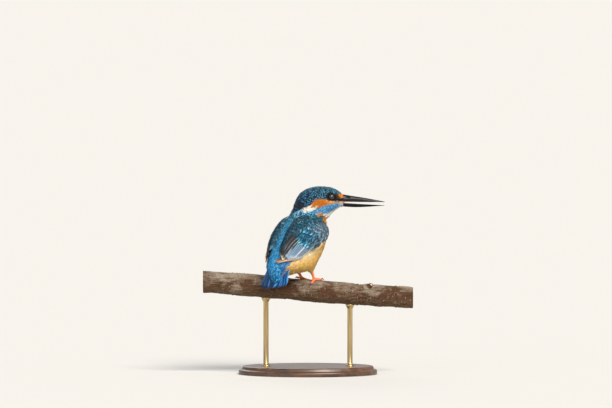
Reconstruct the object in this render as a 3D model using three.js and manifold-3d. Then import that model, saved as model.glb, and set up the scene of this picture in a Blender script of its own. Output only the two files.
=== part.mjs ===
// A life-size common kingfisher, perched on a cut length of branch that a display stand holds up.
// Millimetres, +Z up. The origin is the middle of the stand's underside. The bill points along +X, and the
// body, whose head is turned over its right shoulder, faces away from -Y at bodyYaw.
import * as THREE from "three";
import { mergeVertices } from "three/addons/utils/BufferGeometryUtils.js";
import Module from "manifold-3d";

const wasm = await Module();
wasm.setup();

// ---------------------------------------------------------------- driving dimensions
const bodyYaw = THREE.MathUtils.degToRad(45);
const clearance = 0.3; // gap between neighbouring pieces
const headPlane = -2; // the Y of the head's own midline
const eyeRadius = 3.3;
const billLength = 46; // from the corner of the mouth to the tip
const perchLength = 200;
const perchRadius = 10.6;
const perchSlope = 0.0745; // fall per millimetre towards +X
const perchHeight = 80; // axis of the perch at the feet
const baseThickness = 8;
const baseHalfLength = 66;
const baseHalfWidth = 52;
const rodRadius = 2.5;
const rodOffset = 40;

// ---------------------------------------------------------------- small tools
const group = new THREE.Group();
const lerp = THREE.MathUtils.lerp;
const smooth = THREE.MathUtils.smoothstep;
const range = (count) => [...Array(count).keys()];

// A point given as distance ahead of the feet and right of the midline, in the body's own heading.
function bird(forward, right, height) {
  return new THREE.Vector3(
    forward * Math.cos(bodyYaw) + right * Math.sin(bodyYaw),
    forward * Math.sin(bodyYaw) - right * Math.cos(bodyYaw),
    height,
  );
}

// A smooth curve through rows of up to three numbers.
function through(rows) {
  const points = rows.map((row) => new THREE.Vector3(row[0], row[1], row[2] ?? 0));
  return new THREE.CatmullRomCurve3(points, false, "centripetal");
}

// A closed geometry from points and triangles, turned so that its faces point out.
function closed(points, faces) {
  const geometry = new THREE.BufferGeometry().setFromPoints(points);
  const volume = faces.reduce((sum, [a, b, c]) => {
    const cross = points[b].clone().cross(points[c]);
    return sum + points[a].dot(cross);
  }, 0);
  const turned = volume < 0 ? faces.map(([a, b, c]) => [a, c, b]) : faces;
  geometry.setIndex(turned.flat());
  return geometry;
}

// A solid skinned over rings of points, with a flat fan over each end.
function loft(rings) {
  const size = rings[0].length;
  const points = rings.flat();
  const faces = [];
  for (let ring = 0; ring < rings.length - 1; ring++)
    for (let i = 0; i < size; i++) {
      const a = ring * size + i;
      const b = ring * size + ((i + 1) % size);
      faces.push([a, b, b + size], [a, b + size, a + size]);
    }
  for (const [ring, flip] of [[0, true], [rings.length - 1, false]]) {
    const centre = new THREE.Vector3();
    rings[ring].forEach((p) => centre.addScaledVector(p, 1 / size));
    const middle = points.push(centre) - 1;
    for (let i = 0; i < size; i++) {
      const a = ring * size + i;
      const b = ring * size + ((i + 1) % size);
      faces.push(flip ? [middle, b, a] : [middle, a, b]);
    }
  }
  return closed(points, faces);
}

// A closed plate between an outer and an inner surface, each a function of two shares from 0 to 1.
function plate(outer, inner, rows, columns) {
  const points = [];
  const faces = [];
  const at = (side, i, j) => (side * (rows + 1) + i) * (columns + 1) + j;
  for (const surface of [outer, inner])
    for (let i = 0; i <= rows; i++)
      for (let j = 0; j <= columns; j++) points.push(surface(i / rows, j / columns));
  const square = (a, b, c, d) => faces.push([a, b, c], [a, c, d]);
  for (let i = 0; i < rows; i++)
    for (let j = 0; j < columns; j++) {
      square(at(0, i, j), at(0, i, j + 1), at(0, i + 1, j + 1), at(0, i + 1, j));
      square(at(1, i, j), at(1, i + 1, j), at(1, i + 1, j + 1), at(1, i, j + 1));
    }
  for (let i = 0; i < rows; i++)
    for (const [j, first, last] of [[0, i, i + 1], [columns, i + 1, i]])
      square(at(0, first, j), at(0, last, j), at(1, last, j), at(1, first, j));
  for (let j = 0; j < columns; j++)
    for (const [i, first, last] of [[0, j + 1, j], [rows, j, j + 1]])
      square(at(0, i, first), at(0, i, last), at(1, i, last), at(1, i, first));
  return closed(points, faces);
}

// A round tube along a curve, with a radius at each share of the way.
function tube(curve, radius, steps, sides) {
  const frames = curve.computeFrenetFrames(steps, false);
  const rings = range(steps + 1).map((step) => {
    const share = step / steps;
    return range(sides).map((side) => {
      const angle = (side / sides) * 2 * Math.PI;
      return curve
        .getPointAt(share)
        .addScaledVector(frames.normals[step], radius(share) * Math.cos(angle))
        .addScaledVector(frames.binormals[step], radius(share) * Math.sin(angle));
    });
  });
  return loft(rings);
}

// The geometry as a solid that can be joined and cut, and back.
function solid(geometry) {
  const bare = geometry.clone();
  bare.deleteAttribute("normal");
  bare.deleteAttribute("uv");
  const merged = mergeVertices(bare, 1e-4);
  return new wasm.Manifold(
    new wasm.Mesh({
      numProp: 3,
      vertProperties: merged.attributes.position.array,
      triVerts: new Uint32Array(merged.index.array),
    }),
  );
}

function geometryOf(body) {
  const mesh = body.getMesh();
  const geometry = new THREE.BufferGeometry();
  geometry.setAttribute("position", new THREE.BufferAttribute(mesh.vertProperties, 3));
  geometry.setIndex(new THREE.BufferAttribute(mesh.triVerts, 1));
  return geometry;
}

function finish(colour, roughness, metalness = 0) {
  return new THREE.MeshStandardMaterial({ color: colour, roughness, metalness });
}

function add(name, shape, material) {
  const geometry = shape.isBufferGeometry ? shape : geometryOf(shape);
  const mesh = new THREE.Mesh(geometry, material);
  mesh.name = name;
  group.add(mesh);
}

// Everything on the far side of a plane through a point, as a large block.
function halfSpace(point, normal) {
  const block = 400;
  const geometry = new THREE.BoxGeometry(block, block, block);
  const turn = new THREE.Quaternion().setFromUnitVectors(new THREE.Vector3(0, 0, 1), normal);
  geometry.translate(0, 0, block / 2).applyQuaternion(turn);
  return solid(geometry.translate(point.x, point.y, point.z));
}

const teal = finish(0x1c6f86, 0.55);
const navy = finish(0x1d3f7c, 0.5);
const orange = finish(0xd9822f, 0.7);
const horn = finish(0x1d1c20, 0.35);
const coral = finish(0xd4452a, 0.5);
const eyeBrown = finish(0x140d0a, 0.1);
const bark = finish(0x6b5138, 0.9);
const walnut = finish(0x3b2a20, 0.45);
const brass = finish(0x9a8458, 0.35, 1);

// ---------------------------------------------------------------- trunk
// Each station is an oval slice: its top on the back and its bottom on the belly, both as distance
// ahead of the feet and height, then its half-width. They run from the tail's root to the neck.
const trunkStations = [
  [-48.5, 93, -40, 89.5, 7],
  [-50.8, 100, -31, 93.5, 11],
  [-50.3, 106, -19, 95.8, 16.5],
  [-47.1, 112.7, -5, 97.5, 20.5],
  [-43.5, 120, 4, 104.5, 23],
  [-39.5, 127.1, 10.5, 115, 24.3],
  [-36, 133, 15.5, 126, 23.9],
  [-32.3, 139.3, 18.3, 136, 22],
  [-28.5, 145, 18, 144.5, 18.2],
  [-23, 150.5, 14, 151.5, 12.8],
  [-16, 155, 8, 156, 9],
];
const backLine = through(trunkStations.map((s) => [s[0], s[1], s[4]]));
const bellyLine = through(trunkStations.map((s) => [s[2], s[3]]));

// A point of the trunk's surface: share of the way from tail to neck, angle round from the back
// towards the bird's right, and how far the surface is grown outwards.
function trunkPoint(along, angle, grown = 0) {
  const top = backLine.getPoint(along);
  const bottom = bellyLine.getPoint(along);
  const spread = new THREE.Vector2(top.x - bottom.x, top.y - bottom.y);
  const half = spread.length() / 2;
  const reach = ((half + grown) / (2 * half)) * Math.cos(angle);
  return bird(
    (top.x + bottom.x) / 2 + spread.x * reach,
    (top.z + grown) * Math.sin(angle),
    (top.y + bottom.y) / 2 + spread.y * reach,
  );
}

function trunkShape(grown = 0, rings = 15, sides = 24) {
  return loft(
    range(rings + 1).map((ring) =>
      range(sides).map((side) => trunkPoint(ring / rings, (side / sides) * 2 * Math.PI, grown)),
    ),
  );
}

// ---------------------------------------------------------------- head
// Slices of the head, from inside the neck to the bill: X and height of the top, X and height of
// the bottom, half-width, and how far the slice's middle lies from the head's own plane.
const headStations = [
  [-14, 154, -9, 145, 8, -9],
  [-13, 163, -2, 143.5, 12, -5],
  [-10, 170.6, 7, 144.5, 13.8, -2],
  [-5.1, 175.4, 14, 147, 14.6, -0.5],
  [1.2, 178.2, 19, 149.5, 14.9, 0],
  [8.6, 179.7, 22.6, 152.9, 14.6, 0],
  [17.7, 179.5, 26, 155.7, 13.4, 0],
  [24, 178.3, 28.8, 157.5, 11.4, 0],
  [28.6, 175.8, 31, 158.8, 8.9, 0],
  [32, 173.2, 33, 159.6, 6.6, 0],
  [34.3, 171.6, 34.5, 160, 4.9, 0],
];
const crownLine = through(headStations.map((s) => [s[0], s[1], s[4]]));
const throatLine = through(headStations.map((s) => [s[2], s[3], s[5]]));

function headPoint(along, angle, grown = 0) {
  const top = crownLine.getPoint(along);
  const bottom = throatLine.getPoint(along);
  const spread = new THREE.Vector2(top.x - bottom.x, top.y - bottom.y);
  const half = spread.length() / 2;
  const reach = ((half + grown) / (2 * half)) * Math.cos(angle);
  return new THREE.Vector3(
    (top.x + bottom.x) / 2 + spread.x * reach,
    headPlane + bottom.z - (top.z + grown) * Math.sin(angle),
    (top.y + bottom.y) / 2 + spread.y * reach,
  );
}

function headShape(grown = 0, rings = 12, sides = 20) {
  return loft(
    range(rings + 1).map((ring) =>
      range(sides).map((side) => headPoint(ring / rings, (side / sides) * 2 * Math.PI, grown)),
    ),
  );
}

// ---------------------------------------------------------------- neck
// A tapering oval column that turns from the body's heading to the head's: middle X, Y and height,
// half-width across, half-depth fore and aft, and heading.
const neckStations = [
  [-5, -5, 139, 17.5, 19.5, bodyYaw],
  [-3.5, -4.5, 147, 15.8, 17.8, bodyYaw * 0.8],
  [-1, -3.4, 154, 14.6, 15.4, bodyYaw * 0.45],
  [1.5, -2.6, 161, 13.4, 13.6, bodyYaw * 0.15],
  [4, -2, 167, 11, 11.5, 0],
];
const neckMiddle = through(neckStations.map((s) => [s[0], s[1], s[2]]));
const neckSize = through(neckStations.map((s) => [s[3], s[4], s[5]]));

function neckShape(grown = 0, rings = 6, sides = 20) {
  return loft(
    range(rings + 1).map((ring) => {
      const middle = neckMiddle.getPoint(ring / rings);
      const size = neckSize.getPoint(ring / rings);
      const ahead = new THREE.Vector3(Math.cos(size.z), Math.sin(size.z), 0);
      const across = new THREE.Vector3(Math.sin(size.z), -Math.cos(size.z), 0);
      return range(sides).map((side) => {
        const angle = (side / sides) * 2 * Math.PI;
        return middle
          .clone()
          .addScaledVector(ahead, (size.y + grown) * Math.cos(angle))
          .addScaledVector(across, (size.x + grown) * Math.sin(angle));
      });
    }),
  );
}

// ---------------------------------------------------------------- bill
// Sections of each half of the bill: X, height of the ridge, height of the cutting edge, half-width.
const upperBill = [
  [27, 170.6, 164.7, 6.3],
  [31, 171.4, 164.6, 5.5],
  [34.5, 171.2, 164.5, 4.6],
  [42, 170, 164.4, 3.7],
  [50, 168.8, 164.3, 3],
  [58, 167.4, 164.2, 2.35],
  [65, 166.1, 164.15, 1.7],
  [70, 165.2, 164.1, 0.95],
  [27 + billLength, 164.5, 164.05, 0.25],
];
const lowerBill = [
  [27, 160.4, 163.8, 6],
  [31, 160.1, 163.55, 5.2],
  [34.5, 159.8, 163.3, 4.3],
  [42, 159.3, 162.7, 3.5],
  [50, 159.3, 162.2, 2.8],
  [58, 159.7, 161.8, 2.1],
  [65, 160.2, 161.4, 1.4],
  [70, 160.55, 161.15, 0.8],
  [26.7 + billLength, 160.75, 161.05, 0.25],
];

// Half of the bill: a roof over a flat cutting edge, its ridge pinched by the exponent.
function mandible(stations, grown = 0, sides = 8) {
  const ridgeLine = through(stations.map((s) => [s[0], s[1]]));
  const edgeLine = through(stations.map((s) => [s[0], s[2], s[3]]));
  const steps = 8;
  return loft(
    range(steps + 1).map((step) => {
      const ridge = ridgeLine.getPoint(step / steps);
      const edge = edgeLine.getPoint(step / steps);
      const rise = ridge.y - edge.y;
      const sign = Math.sign(rise);
      return range(sides + 1).map((side) => {
        const angle = (side / sides) * Math.PI;
        const lift = 1 - Math.pow(Math.abs(Math.cos(angle)), 1.7);
        const height = edge.y - sign * grown + (rise + 2 * sign * grown) * lift;
        return new THREE.Vector3(edge.x, headPlane - (edge.z + grown) * Math.cos(angle), height);
      });
    }),
  );
}

const upper = mandible(upperBill);
const lower = mandible(lowerBill);
add("bill_upper", upper, horn);
add("bill_lower", lower, horn);

// The open mouth runs back between the halves to its corner under the eye.
const mouth = new THREE.Shape([
  new THREE.Vector2(26.2, 164.15),
  new THREE.Vector2(36, 163.1),
  new THREE.Vector2(36, 164.7),
  new THREE.Vector2(26.2, 164.45),
]);
const mouthGap = new THREE.ExtrudeGeometry(mouth, { depth: 40, bevelEnabled: false });
mouthGap.rotateX(Math.PI / 2).translate(0, 20, 0);

// ---------------------------------------------------------------- eyes
const eyeX = 22.2;
const eyeHeight = 169.3;
const eyeDepth = 10.3; // from the head's plane to the eyeball's centre
const eyeballs = { right: -1, left: 1 };
const sockets = [];
for (const [side, sign] of Object.entries(eyeballs)) {
  const ball = new THREE.SphereGeometry(eyeRadius, 11, 7);
  ball.translate(eyeX, headPlane + sign * eyeDepth, eyeHeight);
  add(`eye_${side}`, solid(ball), eyeBrown);
  const socket = new THREE.SphereGeometry(eyeRadius + clearance, 11, 7);
  sockets.push(solid(socket.translate(eyeX, headPlane + sign * eyeDepth, eyeHeight)));
}

// ---------------------------------------------------------------- flesh, parted by thin cuts
let flesh = solid(trunkShape()).add(solid(neckShape())).add(solid(headShape()));
flesh = flesh
  .subtract(solid(mandible(upperBill, clearance)))
  .subtract(solid(mandible(lowerBill, clearance)))
  .subtract(solid(mouthGap));
for (const socket of sockets) flesh = flesh.subtract(socket);

const up = new THREE.Vector3(0.3, 0.08, 1).normalize();
const neckTop = new THREE.Vector3(4, -2, 158.5);
const neckFoot = new THREE.Vector3(0, -2, 149.5);
const past = (point, gap) => halfSpace(point.clone().addScaledVector(up, gap / 2), up);
const before = (point, gap) =>
  halfSpace(point.clone().addScaledVector(up, -gap / 2), up.clone().negate());
add("head", flesh.intersect(past(neckTop, clearance)), teal);
add("neck", flesh.intersect(before(neckTop, clearance)).intersect(past(neckFoot, clearance)), teal);
add("trunk", flesh.intersect(before(neckFoot, clearance)), orange);

// ---------------------------------------------------------------- wings
// The folded wing lies on the trunk, between a lower and an upper edge that both run from the
// wrist to the wing's tip. Each row is a share of the trunk's length and an angle in degrees.
const wingLowerEdge = through([
  [0.8, 112], [0.745, 123], [0.66, 122], [0.5, 104], [0.4, 85], [0.33, 64], [0.215, 41],
].map(([along, degrees]) => [along * 100, degrees]));
const wingUpperEdge = through([
  [0.8, 112], [0.885, 78], [0.87, 34], [0.66, 18], [0.45, 17], [0.32, 23], [0.215, 38],
].map(([along, degrees]) => [along * 100, degrees]));

function wingPoint(side, reach, across, grown) {
  const low = wingLowerEdge.getPoint(reach);
  const high = wingUpperEdge.getPoint(reach);
  const along = lerp(low.x, high.x, across) / 100;
  const angle = THREE.MathUtils.degToRad(lerp(low.y, high.y, across));
  return trunkPoint(along, side * angle, grown);
}

// A share that climbs in steps, one to each feather, so that each lies proud of the next.
const feathered = (share, count) => (share * count) % 1;

// The long feathers: an underlying plate whose edge ends in one point for each feather. Grown, it is
// the room that the covering feathers leave for it.
const flightFeathers = 7;
const flightThickness = 1;
const flightStart = 0.25;
const sunk = -0.5; // every plate starts inside the trunk and is then cut back to its surface
function flightPlate(side, grown = 0) {
  const columns = flightFeathers * 2;
  const margin = grown > 0 ? 0.03 : 0;
  const end = (across) => {
    const notch = Math.abs(feathered(across, flightFeathers) - 0.5) * 0.08;
    return 1 - notch - 0.1 * across * across;
  };
  const surface = (height) => (share, across) => {
    const reach = lerp(flightStart - margin, end(across), share);
    return wingPoint(side, reach, lerp(-margin, 1 + margin, across), height(share, across));
  };
  const step = (share, across) => 0.35 * smooth(share, 0.1, 0.5) * feathered(across, flightFeathers);
  const outer = (share, across) => clearance + flightThickness + grown + step(share, across);
  return plate(surface(outer), surface(() => sunk), 6, columns);
}

// The small feathers that cover the front of the wing, and those of the shoulder above them.
// Where the long feathers run beneath, both lie over them.
function coverPlate(side, area) {
  const under = (reach) => lerp(clearance, 2 * clearance + flightThickness + 0.4, smooth(reach, 0.1, 0.25));
  const bulge = (share, across) =>
    area.least + area.swell * Math.sqrt(Math.sin(Math.PI * across) * Math.sin(Math.PI * share));
  const surface = (height) => (share, across) => {
    const scallop = area.scallop * Math.abs(Math.sin(across * Math.PI * area.feathers));
    const reach = lerp(area.from, area.to - scallop, share);
    return wingPoint(side, reach, lerp(area.low, area.high, across), height(reach, share, across));
  };
  return plate(
    surface((reach, share, across) => under(reach) + bulge(share, across)),
    surface(() => sunk),
    area.rows,
    area.columns,
  );
}

const coverts = {
  from: 0.015, to: 0.56, low: 0, high: 0.52, least: 1.1, swell: 1.4,
  scallop: 0.05, feathers: 4, rows: 6, columns: 8,
};
const scapulars = {
  from: 0.09, to: 0.72, low: 0.6, high: 1, least: 1.1, swell: 1.2,
  scallop: 0.06, feathers: 3, rows: 6, columns: 6,
};
const grownTrunk = solid(trunkShape(clearance));
const grownFlesh = grownTrunk.add(solid(neckShape(clearance))).add(solid(headShape(clearance)));
for (const [side, sign] of [["right", 1], ["left", -1]]) {
  const long = solid(flightPlate(sign)).subtract(grownFlesh);
  const room = grownFlesh.add(solid(flightPlate(sign, 1.6 * clearance)));
  add(`wing_${side}_flight_feathers`, long, navy);
  add(`wing_${side}_coverts`, solid(coverPlate(sign, coverts)).subtract(room), teal);
  add(`wing_${side}_scapulars`, solid(coverPlate(sign, scapulars)).subtract(room), teal);
}

// ---------------------------------------------------------------- tail
// Twelve feathers in a slight fan, arched across, their tips stepped. The fan is swung a little
// towards the bird's left.
const tailFeathers = 12;
const tailRoot = { forward: -35, height: 117 };
const tailTip = { forward: -46, height: 83.4 };
const tailHalfAngle = THREE.MathUtils.degToRad(18);
const tailSwing = THREE.MathUtils.degToRad(6);
const tailRoll = THREE.MathUtils.degToRad(5);
const tailSkew = 0.1; // how much longer the left side shows
const tailStart = 0.3;
const tailRootHalfWidth = 9;

function tailPoint(reach, across, depth) {
  const length = Math.hypot(tailTip.forward - tailRoot.forward, tailTip.height - tailRoot.height);
  const slope = Math.atan2(tailTip.height - tailRoot.height, tailTip.forward - tailRoot.forward);
  const fan = (across * 2 - 1) * tailHalfAngle - tailSwing;
  const out = reach * length;
  const right = Math.sin(fan) * out + (across * 2 - 1) * tailRootHalfWidth;
  const down = Math.cos(fan) * out;
  const arch = -0.0045 * right * right - depth + right * Math.tan(tailRoll);
  return bird(
    tailRoot.forward + Math.cos(slope) * down + Math.sin(slope) * arch,
    right,
    tailRoot.height + Math.sin(slope) * down - Math.cos(slope) * arch,
  );
}

function tailPlate() {
  const end = (across) => {
    const side = Math.abs(across * 2 - 1);
    const tip = 0.05 * Math.abs(feathered(across, tailFeathers) - 0.5);
    return 1.02 + tailSkew * (0.5 - across) - 0.03 * side * side - tip;
  };
  const lap = (across) => {
    const share = feathered(across, tailFeathers);
    return across < 0.5 ? 1 - share : share;
  };
  const surface = (depth) => (share, across) =>
    tailPoint(lerp(tailStart, end(across), share), across, depth(across));
  return plate(surface((across) => 0.5 * lap(across)), surface(() => 1.3), 3, tailFeathers * 2);
}
add("tail", solid(tailPlate()).subtract(grownTrunk), navy);

// ---------------------------------------------------------------- perch
// A slightly crooked branch, sawn off square at both ends, with the stump of a side shoot.
const perchAxis = (x) => perchHeight + 0.2 - perchSlope * x - 0.6 * Math.sin((x + 20) / 35);
const perchRadiusAt = (x) => perchRadius - 0.0035 * x - 0.00003 * x * x + 0.2 * Math.sin(x / 11);

function perchPoint(x, angle, out) {
  const radius = perchRadiusAt(x) + out;
  return new THREE.Vector3(x, radius * Math.sin(angle), perchAxis(x) + radius * Math.cos(angle));
}

function perchShape(grown = 0, rings = 13, sides = 16) {
  return loft(
    range(rings + 1).map((ring) => {
      const x = lerp(-perchLength / 2, perchLength / 2, ring / rings);
      return range(sides).map((side) => perchPoint(x, (side / sides) * 2 * Math.PI, grown));
    }),
  );
}
const shootX = 58;
const shootAngle = THREE.MathUtils.degToRad(-38);
const shoot = tube(
  new THREE.CatmullRomCurve3([
    perchPoint(shootX - 3, shootAngle, -4),
    perchPoint(shootX, shootAngle, 0.5),
    perchPoint(shootX + 2.5, shootAngle, 3.5),
  ]),
  (share) => lerp(3.6, 1.5, share),
  4,
  9,
);
add("perch", solid(perchShape()).add(solid(shoot)), bark);

// ---------------------------------------------------------------- legs and feet
// A short feathered thigh, a bare shank, and four toes laid over the perch: three ahead, of which
// the outer two are joined at their base, and one behind.
const toeRadius = 1.15;
const footHeading = THREE.MathUtils.degToRad(52);
const legs = {
  right: { sign: 1, thigh: [-7, 8.5, 109], ankle: [-3.6, 8.2, 97.2], foot: [0.8, 7.4] },
  left: { sign: -1, thigh: [-11, -8.5, 109], ankle: [-6.8, -7.6, 97.2], foot: [-2.2, -6.4] },
};
// Each toe: its turn from straight ahead in degrees (outwards is positive), and its length.
const toes = {
  inner: { turn: -26, length: 7.5 },
  middle: { turn: 0, length: 10.5 },
  outer: { turn: 15, length: 9.5 },
  hind: { turn: 172, length: 6.2 },
};
const clawLength = 3.2;

// A place on the perch's upper side, reached by walking over it from the foot.
function overPerch(foot, heading, walked, out) {
  const x = foot.x + walked * Math.cos(heading);
  const radius = perchRadiusAt(x);
  const start = Math.asin(foot.y / radius);
  return perchPoint(x, start + (walked * Math.sin(heading)) / radius, out);
}

function toeShape(foot, heading, length, grown = 0) {
  const lift = (walked) => clearance + 0.2 + toeRadius * lerp(1.15, 0.75, walked / length);
  const path = range(6).map((i) => {
    const walked = lerp(-0.6, length, i / 5);
    return overPerch(foot, heading, walked, lift(walked));
  });
  const knuckle = (share) => 1 + 0.1 * Math.cos(share * 6 * Math.PI);
  const radius = (share) => grown + toeRadius * lerp(1.05, 0.72, share) * knuckle(share);
  return tube(new THREE.CatmullRomCurve3(path), radius, 4, 6);
}

function clawShape(foot, heading, length) {
  const path = range(4).map((i) => {
    const walked = length + (clawLength * i) / 3;
    const arch = 1.1 * Math.sin((Math.PI * i) / 3);
    return overPerch(foot, heading, walked, clearance + lerp(0.95, 0.45, i / 3) + arch);
  });
  return tube(new THREE.CatmullRomCurve3(path), (share) => lerp(0.7, 0.22, share), 3, 6);
}

const grownPerch = solid(perchShape(clearance));
for (const [side, leg] of Object.entries(legs)) {
  const foot = bird(leg.foot[0], leg.foot[1], 0);
  const ankle = bird(...leg.ankle);
  const sole = overPerch(foot, 0, 0, clearance + 1.4);
  const thigh = tube(
    new THREE.CatmullRomCurve3([
      bird(...leg.thigh),
      bird(...leg.thigh).lerp(ankle, 0.5),
      ankle,
    ]),
    (share) => lerp(10, 2.4, Math.pow(share, 1.2)),
    5,
    12,
  );
  const shank = tube(
    new THREE.CatmullRomCurve3([
      ankle.clone().lerp(bird(...leg.thigh), 0.2),
      ankle,
      ankle.clone().lerp(sole, 0.5),
      sole,
    ]),
    (share) => 1.25 + 0.25 * Math.abs(share - 0.6),
    5,
    7,
  );
  const cut = ankle.clone().lerp(sole, 0.72);
  const down = sole.clone().sub(ankle).normalize();
  const below = cut.clone().addScaledVector(down, clearance / 2);
  const above = cut.clone().addScaledVector(down, -clearance / 2);
  const whole = solid(thigh).add(solid(shank)).subtract(grownTrunk);
  let calf = whole.intersect(halfSpace(above, down.clone().negate()));
  let paw = whole.intersect(halfSpace(below, down));
  const headings = Object.entries(toes).map(([toe, { turn, length }]) => {
    return [toe, footHeading - leg.sign * THREE.MathUtils.degToRad(turn), length];
  });
  for (const [, heading, length] of headings) {
    paw = paw.add(solid(toeShape(foot, heading, length)));
    calf = calf.subtract(solid(toeShape(foot, heading, length, clearance)));
  }
  for (const [toe, heading, length] of headings) {
    const claw = solid(clawShape(foot, heading, length + clearance)).subtract(grownPerch);
    add(`claw_${side}_${toe}`, claw, horn);
    paw = paw.subtract(solid(clawShape(foot, heading, length)));
  }
  add(`leg_${side}`, calf, orange);
  add(`foot_${side}`, paw.subtract(grownPerch), coral);
}

// ---------------------------------------------------------------- stand
// An oval turned base, and two rods whose tops are shaped to the branch.
const baseProfile = [
  [1, 0], [1, 3.4], [0.985, 4.4], [0.95, 4.9], [0.935, 7], [0.91, baseThickness],
];
const baseRings = baseProfile.map(([share, height]) =>
  range(36).map((i) => {
    const angle = (i / 36) * 2 * Math.PI;
    return new THREE.Vector3(
      (baseHalfLength - (1 - share) * 60) * Math.cos(angle),
      (baseHalfWidth - (1 - share) * 60) * Math.sin(angle),
      height,
    );
  }),
);
add("stand_base", loft(baseRings), walnut);
for (const [number, x] of [[1, -rodOffset], [2, rodOffset]]) {
  const rodLength = perchAxis(x) - baseThickness;
  const rod = new THREE.CylinderGeometry(rodRadius, rodRadius, rodLength, 16);
  rod.rotateX(Math.PI / 2).translate(x, 0, baseThickness + rodLength / 2);
  add(`stand_rod_${number}`, solid(rod).subtract(grownPerch), brass);
}

export default group;
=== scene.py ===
"""A life-size common kingfisher on a cut branch, held up by an oval display stand."""
import math

import bpy
import numpy as np
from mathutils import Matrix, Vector, noise
from mathutils.bvhtree import BVHTree
from mathutils.kdtree import KDTree


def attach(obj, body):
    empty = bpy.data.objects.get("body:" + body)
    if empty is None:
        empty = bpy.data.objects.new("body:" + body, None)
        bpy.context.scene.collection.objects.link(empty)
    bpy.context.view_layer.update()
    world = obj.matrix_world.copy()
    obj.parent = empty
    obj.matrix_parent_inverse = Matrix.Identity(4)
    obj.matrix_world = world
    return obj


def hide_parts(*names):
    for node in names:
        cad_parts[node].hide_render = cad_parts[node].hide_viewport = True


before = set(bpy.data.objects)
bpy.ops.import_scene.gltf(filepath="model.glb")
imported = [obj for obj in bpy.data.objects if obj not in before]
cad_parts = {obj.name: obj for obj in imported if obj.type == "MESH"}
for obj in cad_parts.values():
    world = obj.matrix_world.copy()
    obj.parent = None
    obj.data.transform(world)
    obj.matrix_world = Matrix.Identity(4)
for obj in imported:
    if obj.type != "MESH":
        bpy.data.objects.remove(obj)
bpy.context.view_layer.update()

# ---------------------------------------------------------------- oval base
# Shaped from one piece of walnut, with a stepped edge and softened arrises, then waxed.
# The two brass rods are let into its top.
MM = 0.001
base_half = (66.0, 52.0)
base_profile = [  # how far in from the edge, and height
    (8, 0), (1.2, 0), (0.35, 0.12), (0, 0.6), (0, 3.1), (0.2, 3.8), (0.8, 4.3), (1.7, 4.6), (2.8, 4.8),
    (3.2, 5.2), (3.35, 6.2), (3.6, 7.0), (4.2, 7.65), (5.2, 7.96), (6.4, 8.0), (20, 8.0), (40, 8.0),
]


def wire(finish, kind, inputs=None, **settings):
    """A node of a finish, with its settings, and its inputs as values or as links."""
    node = finish.node_tree.nodes.new(kind)
    for key, value in settings.items():
        setattr(node, key, value)
    for socket, value in (inputs or {}).items():
        if isinstance(value, bpy.types.NodeSocket):
            finish.node_tree.links.new(value, node.inputs[socket])
        else:
            node.inputs[socket].default_value = value
    return node


def ramp(finish, factor, *stops):
    """Colours that follow a factor: each stop is a place from 0 to 1 and a colour."""
    node = wire(finish, "ShaderNodeValToRGB", {"Fac": factor})
    while len(node.color_ramp.elements) < len(stops):
        node.color_ramp.elements.new(0.5)
    for element, (place, colour) in zip(node.color_ramp.elements, stops):
        element.position = place
        element.color = (*colour, 1)
    return node.outputs["Color"]


def darkened(finish, colour, shade, share):
    """A colour multiplied by a shade, as far as the share says."""
    inputs = {"Factor": share, 6: colour, 7: shade}
    return wire(finish, "ShaderNodeMix", inputs, data_type="RGBA", blend_type="MULTIPLY").outputs[2]


def grain(finish, scale, stretch=(1, 1, 1), detail=4.0, kind="Noise"):
    """A noise fixed in the piece itself, stretched along chosen axes."""
    place = wire(finish, "ShaderNodeTexCoord").outputs["Object"]
    stretched = wire(finish, "ShaderNodeMapping", {"Vector": place, "Scale": stretch}).outputs["Vector"]
    inputs = {"Vector": stretched, "Scale": scale, "Detail": detail}
    return wire(finish, "ShaderNodeTex" + kind, inputs).outputs[0]


def relief(finish, height, distance, strength):
    inputs = {"Height": height, "Distance": distance, "Strength": strength}
    return wire(finish, "ShaderNodeBump", inputs).outputs["Normal"]


def new_finish(name, **sockets):
    """A finish, with the values of its surface that are the same all over it."""
    finish = bpy.data.materials.new(name)
    finish.use_nodes = True
    for socket, value in sockets.items():
        finish.node_tree.nodes["Principled BSDF"].inputs[socket.replace("_", " ")].default_value = value
    return finish


def connect(finish, **links):
    for socket, output in links.items():
        surface = finish.node_tree.nodes["Principled BSDF"]
        finish.node_tree.links.new(output, surface.inputs[socket.replace("_", " ")])


def full_turn(count):
    return np.linspace(0, 2 * math.pi, count, endpoint=False)


def xyz(x, y, z):
    return np.stack(np.broadcast_arrays(x, y, z), -1)


def wrapped(rings):
    """Points and faces of a closed body skinned over rings of points."""
    rings = np.asarray(rings, float)
    count, sides = rings.shape[:2]
    side = np.arange(sides)
    after = (side + 1) % sides
    row = np.arange(count - 1)[:, None] * sides
    quads = np.stack([row + side, row + after, row + after + sides, row + side + sides], -1)
    first, last = count * sides, (count - 1) * sides
    fans = [
        np.stack([after, side, np.full(sides, first)], -1),
        np.stack([last + side, last + after, np.full(sides, first + 1)], -1),
    ]
    points = np.vstack([rings.reshape(-1, 3), rings[0].mean(0), rings[-1].mean(0)])
    return points, [quads.reshape(-1, 4), np.vstack(fans)]


def turned(outline, sides, centre=0.0):
    """Points and faces of a round or oval piece, from its half-widths, half-depths and heights."""
    cos, sin = np.cos(full_turn(sides)), np.sin(full_turn(sides))
    return wrapped([xyz(centre + wide * cos, deep * sin, high) for wide, deep, high in outline])


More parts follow.
